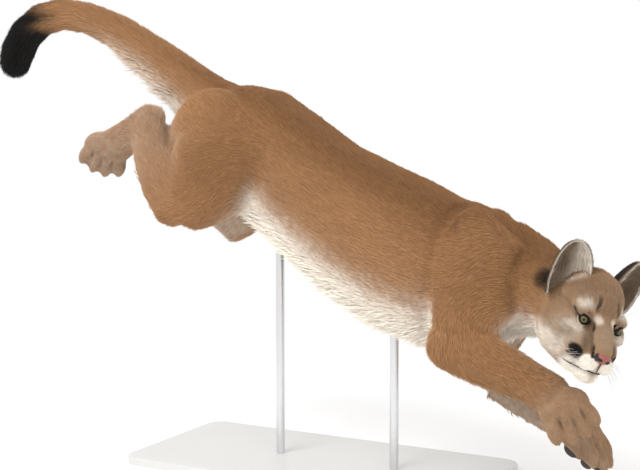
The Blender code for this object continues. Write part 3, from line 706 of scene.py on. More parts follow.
def coat_habit(points, out, region, gone_by):
    """The coat's length and width in metres, its lift in radians, how close it grows, and where
    longer locks stand out of it."""
    face, feet = on_face(points), on_feet(points)
    height = height_on_trunk(points)
    h = in_head(points)
    from_nose = np.linalg.norm(h - np.array(NOSE_AT), axis=1)
    trunk, tail = among(region, *TRUNK), among(region, "tail")
    forelegs = among(region, "foreleg_R", "foreleg_L")
    hind_legs = among(region, "hind_leg_R", "hind_leg_L")
    under_tail = tail * step(-height, 0.2, 0.8) * (1 - step(gone_by, 0.25, 0.5))
    under = trunk * step(-height, 0.66, 0.92) + under_tail
    long = 0.0155 + 0.012 * under + 0.004 * tail
    lift = 0.17 + 0.3 * under + 0.05 * tail
    girth = 0.0019 + 0.0003 * under
    close = np.ones(len(points))
    locks = trunk * step(-height, 0.74, 0.96) + 0.9 * under_tail
    locks = np.maximum(locks, 0.35 * hind_legs * step(-out[:, 0], 0.55, 0.9) * (1 - feet))
    locks = np.maximum(locks, 0.4 * forelegs * step(-out[:, 2], 0.55, 0.95) * (1 - feet))
    short = 0.0038 + 0.008 * step(from_nose, 0.02, 0.16)
    for share, length, width, raised, closeness in (
        (face, short, 0.0009, 0.16, 3.4), (feet, 0.0058, 0.001, 0.15, 3.0),
    ):
        long = long + (length - long) * share
        lift = lift + (raised - lift) * share
        girth = girth + (width - girth) * share
        close = close + (closeness - close) * share
    bare = spot(h, (0.119, 0, -0.033), (0.015, 0.0185, 0.0125), 0.15)
    for s in (1, -1):
        bare = np.maximum(bare, streak(h, mirrored(MOUTH_PATH, s), 0.003))
        bare = np.maximum(bare, spot(h, (EYE_AT[0], s * EYE_AT[1], EYE_AT[2]), (0.0125,) * 3, 0.1))
        locks = np.maximum(locks, 0.8 * spot(h, (-0.035, s * 0.078, -0.06), (0.05, 0.035, 0.035), 0.6))
        locks = np.maximum(locks, spot(h, (-0.09, s * 0.084, 0.03), (0.026, 0.026, 0.03), 0.5))
        locks = np.maximum(locks, streak(h, mirrored(EAR_FOOT, s), 0.012))
    for at, radius in PADS:
        away = np.linalg.norm(points - np.array(at), axis=1)
        bare = np.maximum(bare, 1 - step(away, radius * 0.85, radius * 1.05))
    return {
        "long": long, "girth": girth, "lift": lift, "close": close * (1 - bare),
        "locks": locks * (1 - bare),
    }


def keep_values(mesh, name, values, kind="FLOAT", domain="POINT"):
    made = mesh.attributes.new(name, kind, domain)
    field = "vector" if kind == "FLOAT_VECTOR" else "value"
    made.data.foreach_set(field, np.ascontiguousarray(values).ravel())


def comb(obj, own=None):
    """Works out the lie, habit and marks of the coat at each point of a skin. Own values win."""
    mesh = obj.data
    points, out, edges = points_of(mesh), normals_of(mesh), edges_of(mesh)
    lie, region, gone_by = lie_of(points, out)
    lie = evened(lie, edges, 12, 0.6)
    if own and "lie" in own:
        lie = own.pop("lie")
    lie = unit(lie - out * (lie * out).sum(1)[:, None])
    keep_values(mesh, "lie", lie, "FLOAT_VECTOR")
    values = {**coat_habit(points, out, region, gone_by), **coat_marks(points, out, region, gone_by)}
    smooth_share = (0.5 * (1 - np.maximum(on_face(points), on_feet(points))))[:, None]
    for name in ("pale", "deep", "grey"):
        values[name] = evened(values[name][:, None], edges, 40, smooth_share)[:, 0]
    values.update(own or {})
    for name, value in values.items():
        keep_values(mesh, name, value)
    starts = read(mesh.polygons, "loop_start", kind=int)
    corners = read(mesh.loops, "vertex_index", kind=int)
    kept_region = region[corners[starts]] if obj == skin else np.zeros(len(starts), int)
    keep_values(mesh, "region", kept_region, "INT", "FACE")


comb(skin)


def unwrap(obj):
    """An unwrap of the skin's own shape, for the map that the coat's colours are baked through."""
    obj.data.uv_layers.new(name="bake_place")
    bpy.context.view_layer.objects.active = obj
    obj.select_set(True)
    bpy.ops.object.mode_set(mode="EDIT")
    bpy.ops.mesh.select_all(action="SELECT")
    bpy.ops.uv.smart_project(angle_limit=math.radians(66), island_margin=0.003)
    bpy.ops.object.mode_set(mode="OBJECT")
    obj.select_set(False)


unwrap(skin)


# Coat colours. Summer coat of a grown cougar: tawny, deeper along the back, grey on the face,
# white below, black on the tip of the tail, the muzzle and the backs of the ears. The skin and
# the hair read the same values, and each hair is a little lighter or darker than the next.
TAWNY = (0.41, 0.22, 0.102)
DEEP_BROWN = (0.19, 0.088, 0.033)
SOFT_GREY = (0.37, 0.29, 0.205)
CREAM = (0.85, 0.79, 0.7)
BLACK_HAIR = (0.0075, 0.0065, 0.006)


def mixed(tree, factor, first, second):
    first, second = [(*tone, 1) if isinstance(tone, tuple) else tone for tone in (first, second)]
    return add_node(tree, "ShaderNodeMix", {0: factor, 6: first, 7: second}, data_type="RGBA").outputs[2]


def worked(tree, operation, first, second):
    return add_node(tree, "ShaderNodeMath", {0: first, 1: second}, operation=operation).outputs[0]


def attribute(tree, name, output="Fac"):
    return add_node(tree, "ShaderNodeAttribute", attribute_name=name).outputs[output]


def cloud(tree, scale, detail=3.0):
    place = add_node(tree, "ShaderNodeTexCoord").outputs["Object"]
    inputs = {"Scale": scale, "Detail": detail, "Vector": place}
    return add_node(tree, "ShaderNodeTexNoise", inputs).outputs["Fac"]


def bumped(tree, shader, height, strength, distance):
    inputs = {"Height": height, "Strength": strength, "Distance": distance}
    bump = add_node(tree, "ShaderNodeBump", inputs)
    feed(tree, shader.inputs, {"Normal": bump.outputs["Normal"]})


coat_colours = bpy.data.node_groups.new("coat_colours", "ShaderNodeTree")
for label, way, kind in (
    ("Strand tint", "INPUT", "Float"), ("Colour", "OUTPUT", "Color"), ("Grain", "OUTPUT", "Float"),
):
    coat_colours.interface.new_socket(label, in_out=way, socket_type="NodeSocket" + kind)
tint_in = coat_colours.nodes.new("NodeGroupInput").outputs["Strand tint"]
close_grain = cloud(coat_colours, 420.0, 2.0)
ruffle = worked(coat_colours, "SUBTRACT", cloud(coat_colours, 70.0), 0.5)
ruffle = worked(coat_colours, "MULTIPLY", ruffle, 0.55)
strong_ruffle = worked(coat_colours, "MULTIPLY", ruffle, 4.0)
broad = worked(coat_colours, "MULTIPLY", cloud(coat_colours, 7.0), 0.38)
colour = mixed(coat_colours, broad, TAWNY, DEEP_BROWN)
for name, shade in (("deep", DEEP_BROWN), ("grey", SOFT_GREY), ("pale", CREAM), ("dark", BLACK_HAIR)):
    share = attribute(coat_colours, name)
    edge = worked(coat_colours, "MULTIPLY", worked(coat_colours, "SUBTRACT", 1.0, share), share)
    share = worked(coat_colours, "ADD", share, worked(coat_colours, "MULTIPLY", edge, strong_ruffle))
    colour = mixed(coat_colours, share, colour, shade)
strand = worked(coat_colours, "ADD", 0.7, worked(coat_colours, "MULTIPLY", tint_in, 0.42))
strand = worked(coat_colours, "ADD", strand, worked(coat_colours, "MULTIPLY", close_grain, 0.18))
scaled = add_node(coat_colours, "ShaderNodeVectorMath", {0: colour, "Scale": strand}, operation="SCALE")
add_node(coat_colours, "NodeGroupOutput", {"Colour": scaled.outputs[0], "Grain": close_grain})


def coat_material(name, tint, roughness, bump):
    """Skin or hair in the coat's colours. Its tint is a value or the name of an attribute."""
    made, tree, shader = new_finish(name, {"Roughness": roughness, "Specular IOR Level": 0.22})
    group = add_node(tree, "ShaderNodeGroup", node_tree=coat_colours)
    tint = attribute(tree, tint) if isinstance(tint, str) else tint
    feed(tree, group.inputs, {"Strand tint": tint})
    feed(tree, shader.inputs, {"Base Color": group.outputs["Colour"]})
    if bump:
        bumped(tree, shader, group.outputs["Grain"], bump, 0.002)
    return made


# The hide's tint of 0.25 is below the hairs' average, so the skin seen between the tufts is darker than the
# coat: painted shade in the depth of the coat.
skin_finish = coat_material("hide_under_coat", 0.25, 0.85, 0.6)
hair_finish = coat_material("coat_hair", "strand_tint", 0.62, 0.0)
skin.data.materials.append(skin_finish)


# Coat. Guard hairs in small tapered tufts, rooted in the skin and laid along it. Short, straight
# tufts cover the body, face and feet, and longer bent locks hang below the belly and the tail.
def tuft_mesh(name, rings, tip):
    """A closed three-sided blade along X: rings of (x, half-width, rise, lift) and then a tip."""
    bm = bmesh.new()
    patch = []
    rows = []
    for x, half, rise, lift in rings:
        corners = ((x, -half, lift), (x, half, lift), (x, 0, lift + rise))
        rows.append([bm.verts.new(corner) for corner in corners])
        patch += [(x - 0.5, -half), (x - 0.5, half), (x - 0.5, 0.12)]
    end = bm.verts.new(tip)
    patch.append((tip[0] - 0.5, 0.0))
    for a, b in zip(rows, rows[1:]):
        for k in range(3):
            n = (k + 1) % 3
            bm.faces.new((a[k], a[n], b[n], b[k]))
    for k in range(3):
        bm.faces.new((rows[-1][k], rows[-1][(k + 1) % 3], end))
    bm.faces.new((rows[0][2], rows[0][1], rows[0][0]))
    bmesh.ops.recalc_face_normals(bm, faces=bm.faces)
    bmesh.ops.triangulate(bm, faces=bm.faces)
    made = object_from(bm, name, smooth=False)
    keep_values(made.data, "patch", np.array([(u, v, 0) for u, v in patch]), "FLOAT_VECTOR")
    made.hide_render = True
    return made


short_tuft = tuft_mesh("short_tuft", [(-0.06, 0.5, 0.55, -0.2)], (1.0, 0.0, 0.0))
long_lock = tuft_mesh("long_lock", [(-0.06, 0.36, 0.5, -0.2), (0.45, 0.5, 0.5, 1.1)], (1.0, 0.0, 0.4))
PATCH = 0.003


def growing_tree(name):
    """Scatters tufts over a skin where its region and closeness say, each lying the way of the
    hair there, and joins them as one mesh with the map for baking."""
    tree = bpy.data.node_groups.new(name, "GeometryNodeTree")
    for label, kind in (
        ("Skin", "Geometry"), ("Tuft", "Object"), ("Region", "Int"), ("Share", "String"),
        ("Tufts per square metre", "Float"), ("Length", "Float"), ("Width", "Float"),
        ("Ruffle", "Float"), ("Seed", "Int"), ("Finish", "Material"),
    ):
        tree.interface.new_socket(label, in_out="INPUT", socket_type="NodeSocket" + kind)
    tree.interface.new_socket("Coat", in_out="OUTPUT", socket_type="NodeSocketGeometry")
    given = tree.nodes.new("NodeGroupInput").outputs

    def node(kind, inputs=None, **settings):
        return add_node(tree, kind, inputs, **settings).outputs

    def named(label, kind="FLOAT"):
        return node("GeometryNodeInputNamedAttribute", {"Name": label}, data_type=kind)["Attribute"]

    def times(first, second):
        return worked(tree, "MULTIPLY", first, second)

    def chance(low, high, kind="FLOAT"):
        first, output = (0, 0) if kind == "FLOAT_VECTOR" else (2, 1)
        inputs = {first: low, first + 1: high, "Seed": given["Seed"]}
        return node("FunctionNodeRandomValue", inputs, data_type=kind)[output]

    def vectors(operation, first, second=None, scale=None):
        inputs = {0: first, 1: second, "Scale": scale}
        inputs = {key: value for key, value in inputs.items() if value is not None}
        return node("ShaderNodeVectorMath", inputs, operation=operation)[0]

    def kept(geometry, label, value, kind, domain):
        inputs = {"Geometry": geometry, "Name": label, "Value": value}
        return node("GeometryNodeStoreNamedAttribute", inputs, data_type=kind, domain=domain)[0]

    here = {2: named("region", "INT"), 3: given["Region"]}
    here = node("FunctionNodeCompare", here, data_type="INT", operation="EQUAL")[0]
    scatter = node("GeometryNodeDistributePointsOnFaces", {
        "Mesh": given["Skin"], "Selection": here, "Seed": given["Seed"],
        "Density": times(given["Tufts per square metre"], named(given["Share"])),
    }, distribute_method="RANDOM")

    place = node("GeometryNodeInputPosition")[0]
    clump = node("ShaderNodeTexNoise", {"Scale": 55.0, "Detail": 2.0, "Vector": place})["Color"]
    swirl = vectors("SUBTRACT", clump, (0.5, 0.5, 0.5))
    swirl = vectors("SCALE", swirl, scale=times(given["Ruffle"], 2.6))
    any_way = chance((-0.5, -0.5, -0.5), (0.5, 0.5, 0.5), "FLOAT_VECTOR")
    stray = vectors("SCALE", any_way, scale=given["Ruffle"])
    way = vectors("NORMALIZE", vectors("ADD", vectors("ADD", named("lie", "FLOAT_VECTOR"), swirl), stray))
    lift = times(named("lift"), chance(0.55, 1.5))
    level = vectors("SCALE", way, scale=worked(tree, "COSINE", lift, 0))
    raised = vectors("SCALE", scatter["Normal"], scale=worked(tree, "SINE", lift, 0))
    forwards = {"Vector": vectors("ADD", level, raised)}
    forwards = node("FunctionNodeAlignRotationToVector", forwards, axis="X")[0]
    upright = {"Rotation": forwards, "Vector": scatter["Normal"]}
    upright = node("FunctionNodeAlignRotationToVector", upright, axis="Z", pivot_axis="X")[0]

    length = times(times(named("long"), given["Length"]), chance(0.62, 1.25))
    girth = times(times(named("girth"), given["Width"]), chance(0.7, 1.3))
    planted = node("GeometryNodeInstanceOnPoints", {
        "Points": kept(scatter["Points"], "strand_tint", chance(0.0, 1.0), "FLOAT", "POINT"),
        "Instance": node("GeometryNodeObjectInfo", {"Object": given["Tuft"]})["Geometry"],
        "Rotation": upright,
        "Scale": node("ShaderNodeCombineXYZ", {"X": length, "Y": girth, "Z": girth})[0],
    })[0]
    joined = node("GeometryNodeRealizeInstances", {"Geometry": planted})[0]
    in_patch = vectors("SCALE", named("patch", "FLOAT_VECTOR"), scale=PATCH)
    in_map = vectors("ADD", named("bake_place", "FLOAT_VECTOR"), in_patch)
    mapped = kept(joined, "OFBake", in_map, "FLOAT2", "CORNER")
    finish = node("GeometryNodeSetMaterial", {"Geometry": mapped, "Material": given["Finish"]})[0]
    add_node(tree, "NodeGroupOutput", {"Coat": finish})
    return tree


growing = growing_tree("growing_coat")
SOCKETS = {item.name: item.identifier for item in growing.interface.items_tree if item.in_out == "INPUT"}
USED_ONCE_GROWN = ("lie", "long", "girth", "lift", "close", "patch", "bake_place", "locks", "region")


def grow(name, on, tuft, region, share, density, length, width, ruffle, seed):
    """Grows one piece of coat over one region of a skin, as a plain mesh."""
    holder = plain_object(name, on.data)
    change = holder.modifiers.new("growing", "NODES")
    change.node_group = growing
    for label, value in (
        ("Tuft", tuft), ("Region", REGIONS.index(region)), ("Share", share),
        ("Tufts per square metre", float(density)), ("Length", float(length)), ("Width", float(width)),
        ("Ruffle", float(ruffle)), ("Seed", seed), ("Finish", hair_finish),
    ):
        change[SOCKETS[label]] = value
    settled(holder)
    for used in USED_ONCE_GROWN:
        if used in holder.data.attributes:
            holder.data.attributes.remove(holder.data.attributes[used])
    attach(holder, "root")
    return holder


BODY_TUFTS, BODY_LOCKS, EAR_LOCKS = 135000, 15000, 60000
for number, region in enumerate(REGIONS):
    grow("coat_" + region, skin, short_tuft, region, "close", BODY_TUFTS, 1.0, 1.0, 0.16, 11 + number)
for number, region in enumerate(REGIONS):
    if region not in ("neck", "rump"):
        grow("locks_" + region, skin, long_lock, region, "locks", BODY_LOCKS, 1.15, 1.5, 0.45, 41 + number)

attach(skin, "root")
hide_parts(*CARVED_FROM_SOLIDS, "head")


# Eyelids. Furred skin over a ball, parted by a slanting slit, with bare black rims that meet in a
# point towards the nose.
SLIT_HALF_WIDTH, SLIT_HALF_HEIGHT, SLIT_RISE = 0.0122, 0.0074, 0.0014
LID_RINGS, LID_AROUND = 20, 56
LID_BALL = 0.0135


def gaze(s):
    """The way an eye looks: forwards, outwards and a little up."""
    return frame_of((0.86, s * 0.5, 0.1), (-0.45, s * 0.8, 0.14))


def lid_grid(s):
    """Points of the lids of one eye, from the rim of the slit outwards, and their share of the way."""
    axes = np.array(gaze(s))
    axes[:, 2] *= s
    turn = 2 * np.pi * np.arange(LID_AROUND) / LID_AROUND
    wide = SLIT_HALF_WIDTH * np.cos(turn)
    high = SLIT_HALF_HEIGHT * np.sign(np.sin(turn)) * np.abs(np.sin(turn)) ** 1.6 + SLIT_RISE * np.cos(turn)
    deep = np.sqrt(LID_BALL ** 2 - wide ** 2 - high ** 2)
    start = unit(np.stack([deep, wide, high], axis=1))
    far = math.radians(96)
    end = np.stack([
        np.full(LID_AROUND, math.cos(far)), math.sin(far) * np.cos(turn), math.sin(far) * np.sin(turn),
    ], axis=1)
    rows, shares = [], []
    for ring in range(LID_RINGS):
        share = max(ring - 2, 0) / (LID_RINGS - 3)
        radius = (0.0127, 0.0137, 0.0145)[min(ring, 2)] + 0.0008 * math.sin(math.pi * min(share * 1.4, 1))
        radius -= 0.004 * max(share - 0.45, 0) / 0.55
        radius = radius + 0.0011 * np.maximum(np.sin(turn), 0) * math.exp(-((share - 0.25) / 0.2) ** 2)
        way = unit(start * (1 - share) + end * share)
        rows.append(way * np.reshape(radius, (-1, 1)))
        shares.append(np.full(LID_AROUND, share if ring > 1 else -1.0))
    points = np.concatenate(rows) @ axes.T + np.array((EYE_AT[0], s * EYE_AT[1], EYE_AT[2]))
    return points, np.concatenate(shares), np.tile(turn, LID_RINGS)


def in_world(points):
    forth = np.array(head_axes)
    return points @ forth[:3, :3].T + forth[:3, 3]


def grid_faces(rows, columns, start=0, closed=False):
    """Four-sided faces over a grid of points."""
    faces = []
    for i in range(rows - 1):
        for k in range(columns if closed else columns - 1):
            n = (k + 1) % columns
            a, b = start + i * columns, start + (i + 1) * columns
            faces.append((a + k, a + n, b + n, b + k))
    return faces


lid_points, lid_shares, lid_turns, lid_faces = [], [], [], []
for s in (1, -1):
    points, shares, turns = lid_grid(s)
    start = sum(len(p) for p in lid_points)
    for a, b, c, d in grid_faces(LID_RINGS, LID_AROUND, start, closed=True):
        lid_faces.append((a, d, c, b) if s > 0 else (d, a, b, c))
    lid_points.append(in_world(points))
    lid_shares.append(shares)
    lid_turns.append(turns)
lid_mesh = bpy.data.meshes.new("eyelids")
lid_mesh.from_pydata(np.concatenate(lid_points).tolist(), [], lid_faces)
lid_mesh.shade_smooth()
eyelids = plain_object("eyelids", lid_mesh)
lid_points, lid_shares = np.concatenate(lid_points), np.concatenate(lid_shares)
lid_turns = np.concatenate(lid_turns)
rim_width = 0.14 + 0.15 * np.maximum(-np.cos(lid_turns), 0) + 0.08 * np.maximum(np.sin(lid_turns), 0)
rim = 1 - step(lid_shares, rim_width, rim_width + 0.1)
lower_lid = np.maximum(-np.sin(lid_turns), 0) * step(lid_shares, 0.18, 0.28)
no_region = np.zeros(len(lid_points), int)
lid_marks = coat_marks(lid_points, normals_of(lid_mesh), no_region, no_region.astype(float))
comb(eyelids, {
    "dark": np.maximum(rim, lid_marks["dark"]),
    "pale": np.maximum(lid_marks["pale"], 0.65 * lower_lid) * (1 - rim),
    "long": np.full(len(lid_points), 0.004),
    "close": 4.0 * step(lid_shares, 0.12, 0.22),
    "locks": np.zeros(len(lid_points)),
})
unwrap(eyelids)
eyelids.data.materials.append(skin_finish)
grow("coat_eyelids", eyelids, short_tuft, "head", "close", BODY_TUFTS, 1.0, 0.9, 0.12, 71)
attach(eyelids, "root")


# Ears. Two thin rounded cups of cartilage and skin, open forwards and a little outwards. Their
# backs are black, the rims pale, and long pale hairs stand up from the front edge and the base.
EAR_AT = (-0.052, 0.06, 0.05)
EAR_HEIGHT, EAR_RADIUS, EAR_WALL = 0.102, 0.0435, 0.0024
EAR_ROWS, EAR_COLUMNS = 34, 46


def ear_grid(s):
    """The middle of an ear's wall, and how high up and how far round each point is."""
    axes = frame_of((-0.02, s * 0.19, 0.95), (-0.35, s * 0.94, 0.0))
    up, outwards, back = np.array(axes.col[0]), np.array(axes.col[1]), np.array(axes.col[2]) * s
    share = np.linspace(0, 1, EAR_ROWS)
    level = -0.3 + 1.29 * (1 - (1 - share) ** 1.7)
    turn = np.radians(np.linspace(-104, 104, EAR_COLUMNS))
    level, turn = [v.ravel() for v in np.meshgrid(level, turn, indexing="ij")]
    fall = np.maximum(level, 0)
    radius = EAR_RADIUS * np.sqrt(1 - fall ** 2.6) * (1 - 0.07 * step(-level, 0.0, 0.2))
    hollow = 0.62 + 0.1 * (1 - fall)
    points = np.array((EAR_AT[0], s * EAR_AT[1], EAR_AT[2])) + up * (EAR_HEIGHT * level)[:, None]
    points = points + outwards * (radius * np.sin(turn))[:, None]
    points = points + back * (radius * hollow * (np.cos(turn) - 0.35))[:, None]
    return points, level, turn, up, back


def made_outward(name, points, faces):
    """A plain object whose faces all look out."""
    mesh = bpy.data.meshes.new(name)
    mesh.from_pydata(points.tolist(), [], faces)
    bm = bmesh.new()
    bm.from_mesh(mesh)
    bmesh.ops.recalc_face_normals(bm, faces=bm.faces)
    bm.to_mesh(mesh)
    bm.free()
    mesh.shade_smooth()
    return plain_object(name, mesh)


ear_points, ear_faces, ear_level, ear_turn, ear_up, ear_back = [], [], [], [], [], []
for number, s in enumerate((1, -1)):
    points, level, turn, up, back = ear_grid(s)
    ear_faces += grid_faces(EAR_ROWS, EAR_COLUMNS, number * EAR_ROWS * EAR_COLUMNS)
    ear_points.append(in_world(points))
    ear_level.append(level)
    ear_turn.append(turn)
    turned = np.array(head_axes)[:3, :3] / HEAD_SIZE
    ear_up.append(np.tile(turned @ up, (len(level), 1)))
    ear_back.append(np.tile(turned @ back, (len(level), 1)))
middle_of_wall = np.concatenate(ear_points)
ears = made_outward("ears", middle_of_wall, ear_faces)
wall = ears.modifiers.new("wall", "SOLIDIFY")
wall.thickness = EAR_WALL
wall.offset = 0
settled(ears)
ears.data.shade_smooth()
level, turn = np.tile(np.concatenate(ear_level), 2), np.tile(np.concatenate(ear_turn), 2)
up, back = np.tile(np.concatenate(ear_up), (2, 1)), np.tile(np.concatenate(ear_back), (2, 1))
points, out = points_of(ears.data), normals_of(ears.data)
from_middle = points - np.tile(middle_of_wall, (2, 1))
axis_points = in_world(np.array([(EAR_AT[0], s * EAR_AT[1], EAR_AT[2]) for s in (1, -1)]))
number = (np.arange(len(turn)) % (len(turn) // 2) >= len(turn) // 4).astype(int)
axis = axis_points[number] + up * (EAR_HEIGHT * HEAD_SIZE * level)[:, None]
outside = (from_middle * (points - axis)).sum(1) > 0
near_rim = np.maximum(step(np.abs(np.degrees(turn)), 88, 101), step(level, 0.9, 0.975))
front_half = step(-np.degrees(turn), -32, 22)
low_inside = 1 - step(level, 0.34, 0.6)
inside_hair = np.maximum(front_half * (1 - step(level, 0.66, 0.9)), 0.8 * low_inside)
inside_hair *= step(level, 0.1, 0.22)
inside = ~outside
comb(ears, {
    "lie": up + 0.25 * back * inside[:, None] * front_half[:, None],
    "long": np.where(outside, 0.0085, 0.0065) - 0.003 * near_rim,
    "girth": np.full(len(level), 0.0011),
    "lift": np.where(outside, 0.14, 0.22),
    "close": np.where(outside, 2.4, 1.5),
    "locks": inside * inside_hair,
    "pale": np.where(outside, 0.35 * near_rim, 0.8 * np.maximum(near_rim, front_half * 0.9)),
    # Inside the cup, the half away from the front edge is darkened with dark and deep brown: partly the
    # darker hair that grows there, partly painted shade in the ear's hollow.
    "dark": np.where(outside, 0.94 - 0.45 * near_rim, 0.36 * (1 - front_half) * (1 - near_rim)),
    "deep": np.where(outside, 0.2, 0.45 * (1 - near_rim) * (1 - front_half)),
    "grey": np.where(outside, 0.3, 0.8),
})
unwrap(ears)
ears.data.materials.append(skin_finish)
grow("coat_ears", ears, short_tuft, "head", "close", BODY_TUFTS, 1.0, 1.0, 0.14, 72)
grow("hair_in_ears", ears, long_lock, "head", "locks", EAR_LOCKS, 3.0, 1.1, 0.34, 73)
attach(ears, "root")
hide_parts("ear_L", "ear_R")
for pattern in (short_tuft, long_lock):
    bpy.data.objects.remove(pattern, do_unlink=True)


# Eyes. Glass eyes from a taxidermist's maker: a round black pupil in an olive iris under one
# clear polished face, set in the sockets behind the lids.
eye_form = bmesh.new()
for s in (1, -1):
    axes = gaze(s)
    poled = Matrix((axes.col[1], axes.col[2], axes.col[0])).transposed()
    size = Matrix.Diagonal((EYE_RADIUS, EYE_RADIUS, EYE_RADIUS, 1))
    middle = Matrix.Translation(Vector((EYE_AT[0], s * EYE_AT[1], EYE_AT[2])))
    where = head_axes @ middle @ poled.to_4x4() @ size
    bmesh.ops.create_uvsphere(eye_form, u_segments=64, v_segments=72, radius=1, matrix=where)
eyes = object_from(eye_form, "eyes")
eye_spots = in_head(points_of(eyes.data))
iris_place = np.zeros((len(eye_spots), 3))
for s in (1, -1):
    own_side = eye_spots[:, 1] * s > 0
    local = (eye_spots - (EYE_AT[0], s * EYE_AT[1], EYE_AT[2])) @ np.array(gaze(s))
    across = np.hypot(local[:, 1], local[:, 2])
    out_of_sight = np.where(local[:, 0] > 0, across, 2 * EYE_RADIUS)
    spokes = unit(local[:, 1:])
    iris_place[own_side] = np.stack([spokes[:, 0], spokes[:, 1], out_of_sight * 100], axis=1)[own_side]
keep_values(eyes.data, "iris_place", iris_place, "FLOAT_VECTOR")
keep_values(eyes.data, "from_middle", iris_place[:, 2])
eye_glass, tree, shader = new_finish("eye_glass", {
    "Roughness": 0.35, "Specular IOR Level": 0.1,
    "Coat Weight": 0.6, "Coat Roughness": 0.02, "Coat IOR": 1.4,
})
streaks = {"Scale": 7.0, "Detail": 3.0, "Vector": attribute(tree, "iris_place", "Vector")}
streaks = add_node(tree, "ShaderNodeTexNoise", streaks).outputs["Fac"]
rings = add_node(tree, "ShaderNodeValToRGB", {"Fac": attribute(tree, "from_middle")})
IRIS_STOPS = (
    (0.0, (0.002, 0.002, 0.002)), (0.27, (0.002, 0.002, 0.002)), (0.3, (0.07, 0.056, 0.012)),
    (0.45, (0.165, 0.14, 0.026)), (0.64, (0.085, 0.08, 0.018)), (0.72, (0.018, 0.016, 0.007)),
    (0.84, (0.01, 0.008, 0.006)), (1.0, (0.022, 0.015, 0.011)),
)
while len(rings.color_ramp.elements) < len(IRIS_STOPS):
    rings.color_ramp.elements.new(0.5)
for stop, (at, colour) in zip(rings.color_ramp.elements, IRIS_STOPS):
    stop.position = at
    stop.color = (*colour, 1)
streak_share = worked(tree, "MULTIPLY", worked(tree, "SUBTRACT", streaks, 0.35), 0.9)
iris_colour = mixed(tree, streak_share, rings.outputs["Color"], (0.035, 0.028, 0.008))
feed(tree, shader.inputs, {"Base Color": iris_colour})
eyes.data.materials.append(eye_glass)
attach(eyes, "root")
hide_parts("eye_L", "eye_R")


# Nose. Bare pebbled skin, pink in the middle and black round the comma-shaped nostrils, modelled
# in one piece and let into the front of the muzzle.
nose_form = bmesh.new()
add_tube(nose_form, [
    ((0.103, 0, -0.0265), 0.0105, 0.0145),
    ((0.114, 0, -0.0305), 0.0122, 0.0176),
    ((0.1212, 0, -0.035), 0.011, 0.0162),
], sides=40, fullness=2.4, cap=0.5, place=head_axes)
for s in (1, -1):
    add_lump(nose_form, (0.1165, s * 0.0118, -0.035), (0.009, 0.0068, 0.008), place=head_axes)
nose = object_from(nose_form, "nose_leather", smooth=False)
nose_shell = nose.modifiers.new("one_form", "REMESH")
nose_shell.mode = "VOXEL"
nose_shell.voxel_size = 0.00075
settled(nose)
nose_edges = edges_of(nose.data)
nose_co = evened(points_of(nose.data), nose_edges, 8, 0.5)
move_points(nose.data, nose_co)
nose_out = normals_of(nose.data)
NOSTRIL = [(0.125, 0.0078, -0.035), (0.1225, 0.0125, -0.0345), (0.1165, 0.0175, -0.032)]
for s in (1, -1):
    nose_co = groove(nose_co, nose_out, mirrored(NOSTRIL, s), 0.0024, 0.005, "head")
    nose_co = groove(nose_co, nose_out, mirrored(NOSTRIL[:2], s), 0.0034, 0.0022, "head")
nose_co = groove(nose_co, nose_out, [(0.128, 0, -0.026), (0.126, 0, -0.048)], 0.0014, 0.0012, "head")
move_points(nose.data, nose_co)
nose.data.shade_smooth()
nose_spots = in_head(nose_co)
nose_dark = step(np.abs(nose_spots[:, 1]), 0.0125, 0.016)
nose_dark = np.maximum(nose_dark, step(-nose_spots[:, 2], 0.0415, 0.045))
for s in (1, -1):
    nose_dark = np.maximum(nose_dark, streak(nose_spots, mirrored(NOSTRIL, s), 0.0062))
keep_values(nose.data, "dark", nose_dark)
nose_finish, tree, shader = new_finish("nose_skin", {"Roughness": 0.42})
pebbles = {"Scale": 900.0, "Vector": add_node(tree, "ShaderNodeTexCoord").outputs["Object"]}
pebbles = add_node(tree, "ShaderNodeTexVoronoi", pebbles).outputs["Distance"]
pink = mixed(tree, cloud(tree, 260.0), (0.36, 0.105, 0.078), (0.25, 0.07, 0.055))
nose_tone = mixed(tree, attribute(tree, "dark"), pink, (0.012, 0.009, 0.008))
feed(tree, shader.inputs, {"Base Color": nose_tone})
bumped(tree, shader, pebbles, 0.5, 0.0006)
nose.data.materials.append(nose_finish)
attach(nose, "root")
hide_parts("nose")


# Lips and foot pads. Bare black-brown skin: a thin closed lip line from corner to corner, the
# groove under the nose, and under each foot four toe pads and a three-lobed heel pad.
bare_form = bmesh.new()
lip_side = [(x - 0.0008, y * 0.96, z) for x, y, z in MOUTH_PATH]
lip_path = lip_side + [(x, -y, z) for x, y, z in reversed(lip_side[:-1])]
lip_girths = (0.0006, 0.0012, 0.0015, 0.0016, 0.0016, 0.0016, 0.0016)
lip_girths += lip_girths[-2::-1]
lip_stations = [(at, girth, girth) for at, girth in zip(lip_path, lip_girths)]
add_tube(bare_form, lip_stations, (0, 0, 1), 10, 2.0, place=head_axes)
under_nose = [((0.1212, 0, -0.0445), 0.0009, 0.0011), ((0.12, 0, -0.067), 0.0009, 0.0011)]
add_tube(bare_form, under_nose, (0, 1, 0), 10, 2.0, place=head_axes)
for foot in FEET.values():
    axes, pads = pads_of(*foot)
    for at, radii in pads:
        add_lump(bare_form, at, radii, axes, sides=28)
lips_and_pads = object_from(bare_form, "lips_and_pads")
pad_finish, tree, shader = new_finish("pad_skin", {"Roughness": 0.6})
pad_tone = mixed(tree, cloud(tree, 120.0), (0.016, 0.012, 0.011), (0.06, 0.043, 0.038))
feed(tree, shader.inputs, {"Base Color": pad_tone})
bumped(tree, shader, cloud(tree, 900.0, 2.0), 0.5, 0.0008)
lips_and_pads.data.materials.append(pad_finish)
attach(lips_and_pads, "root")


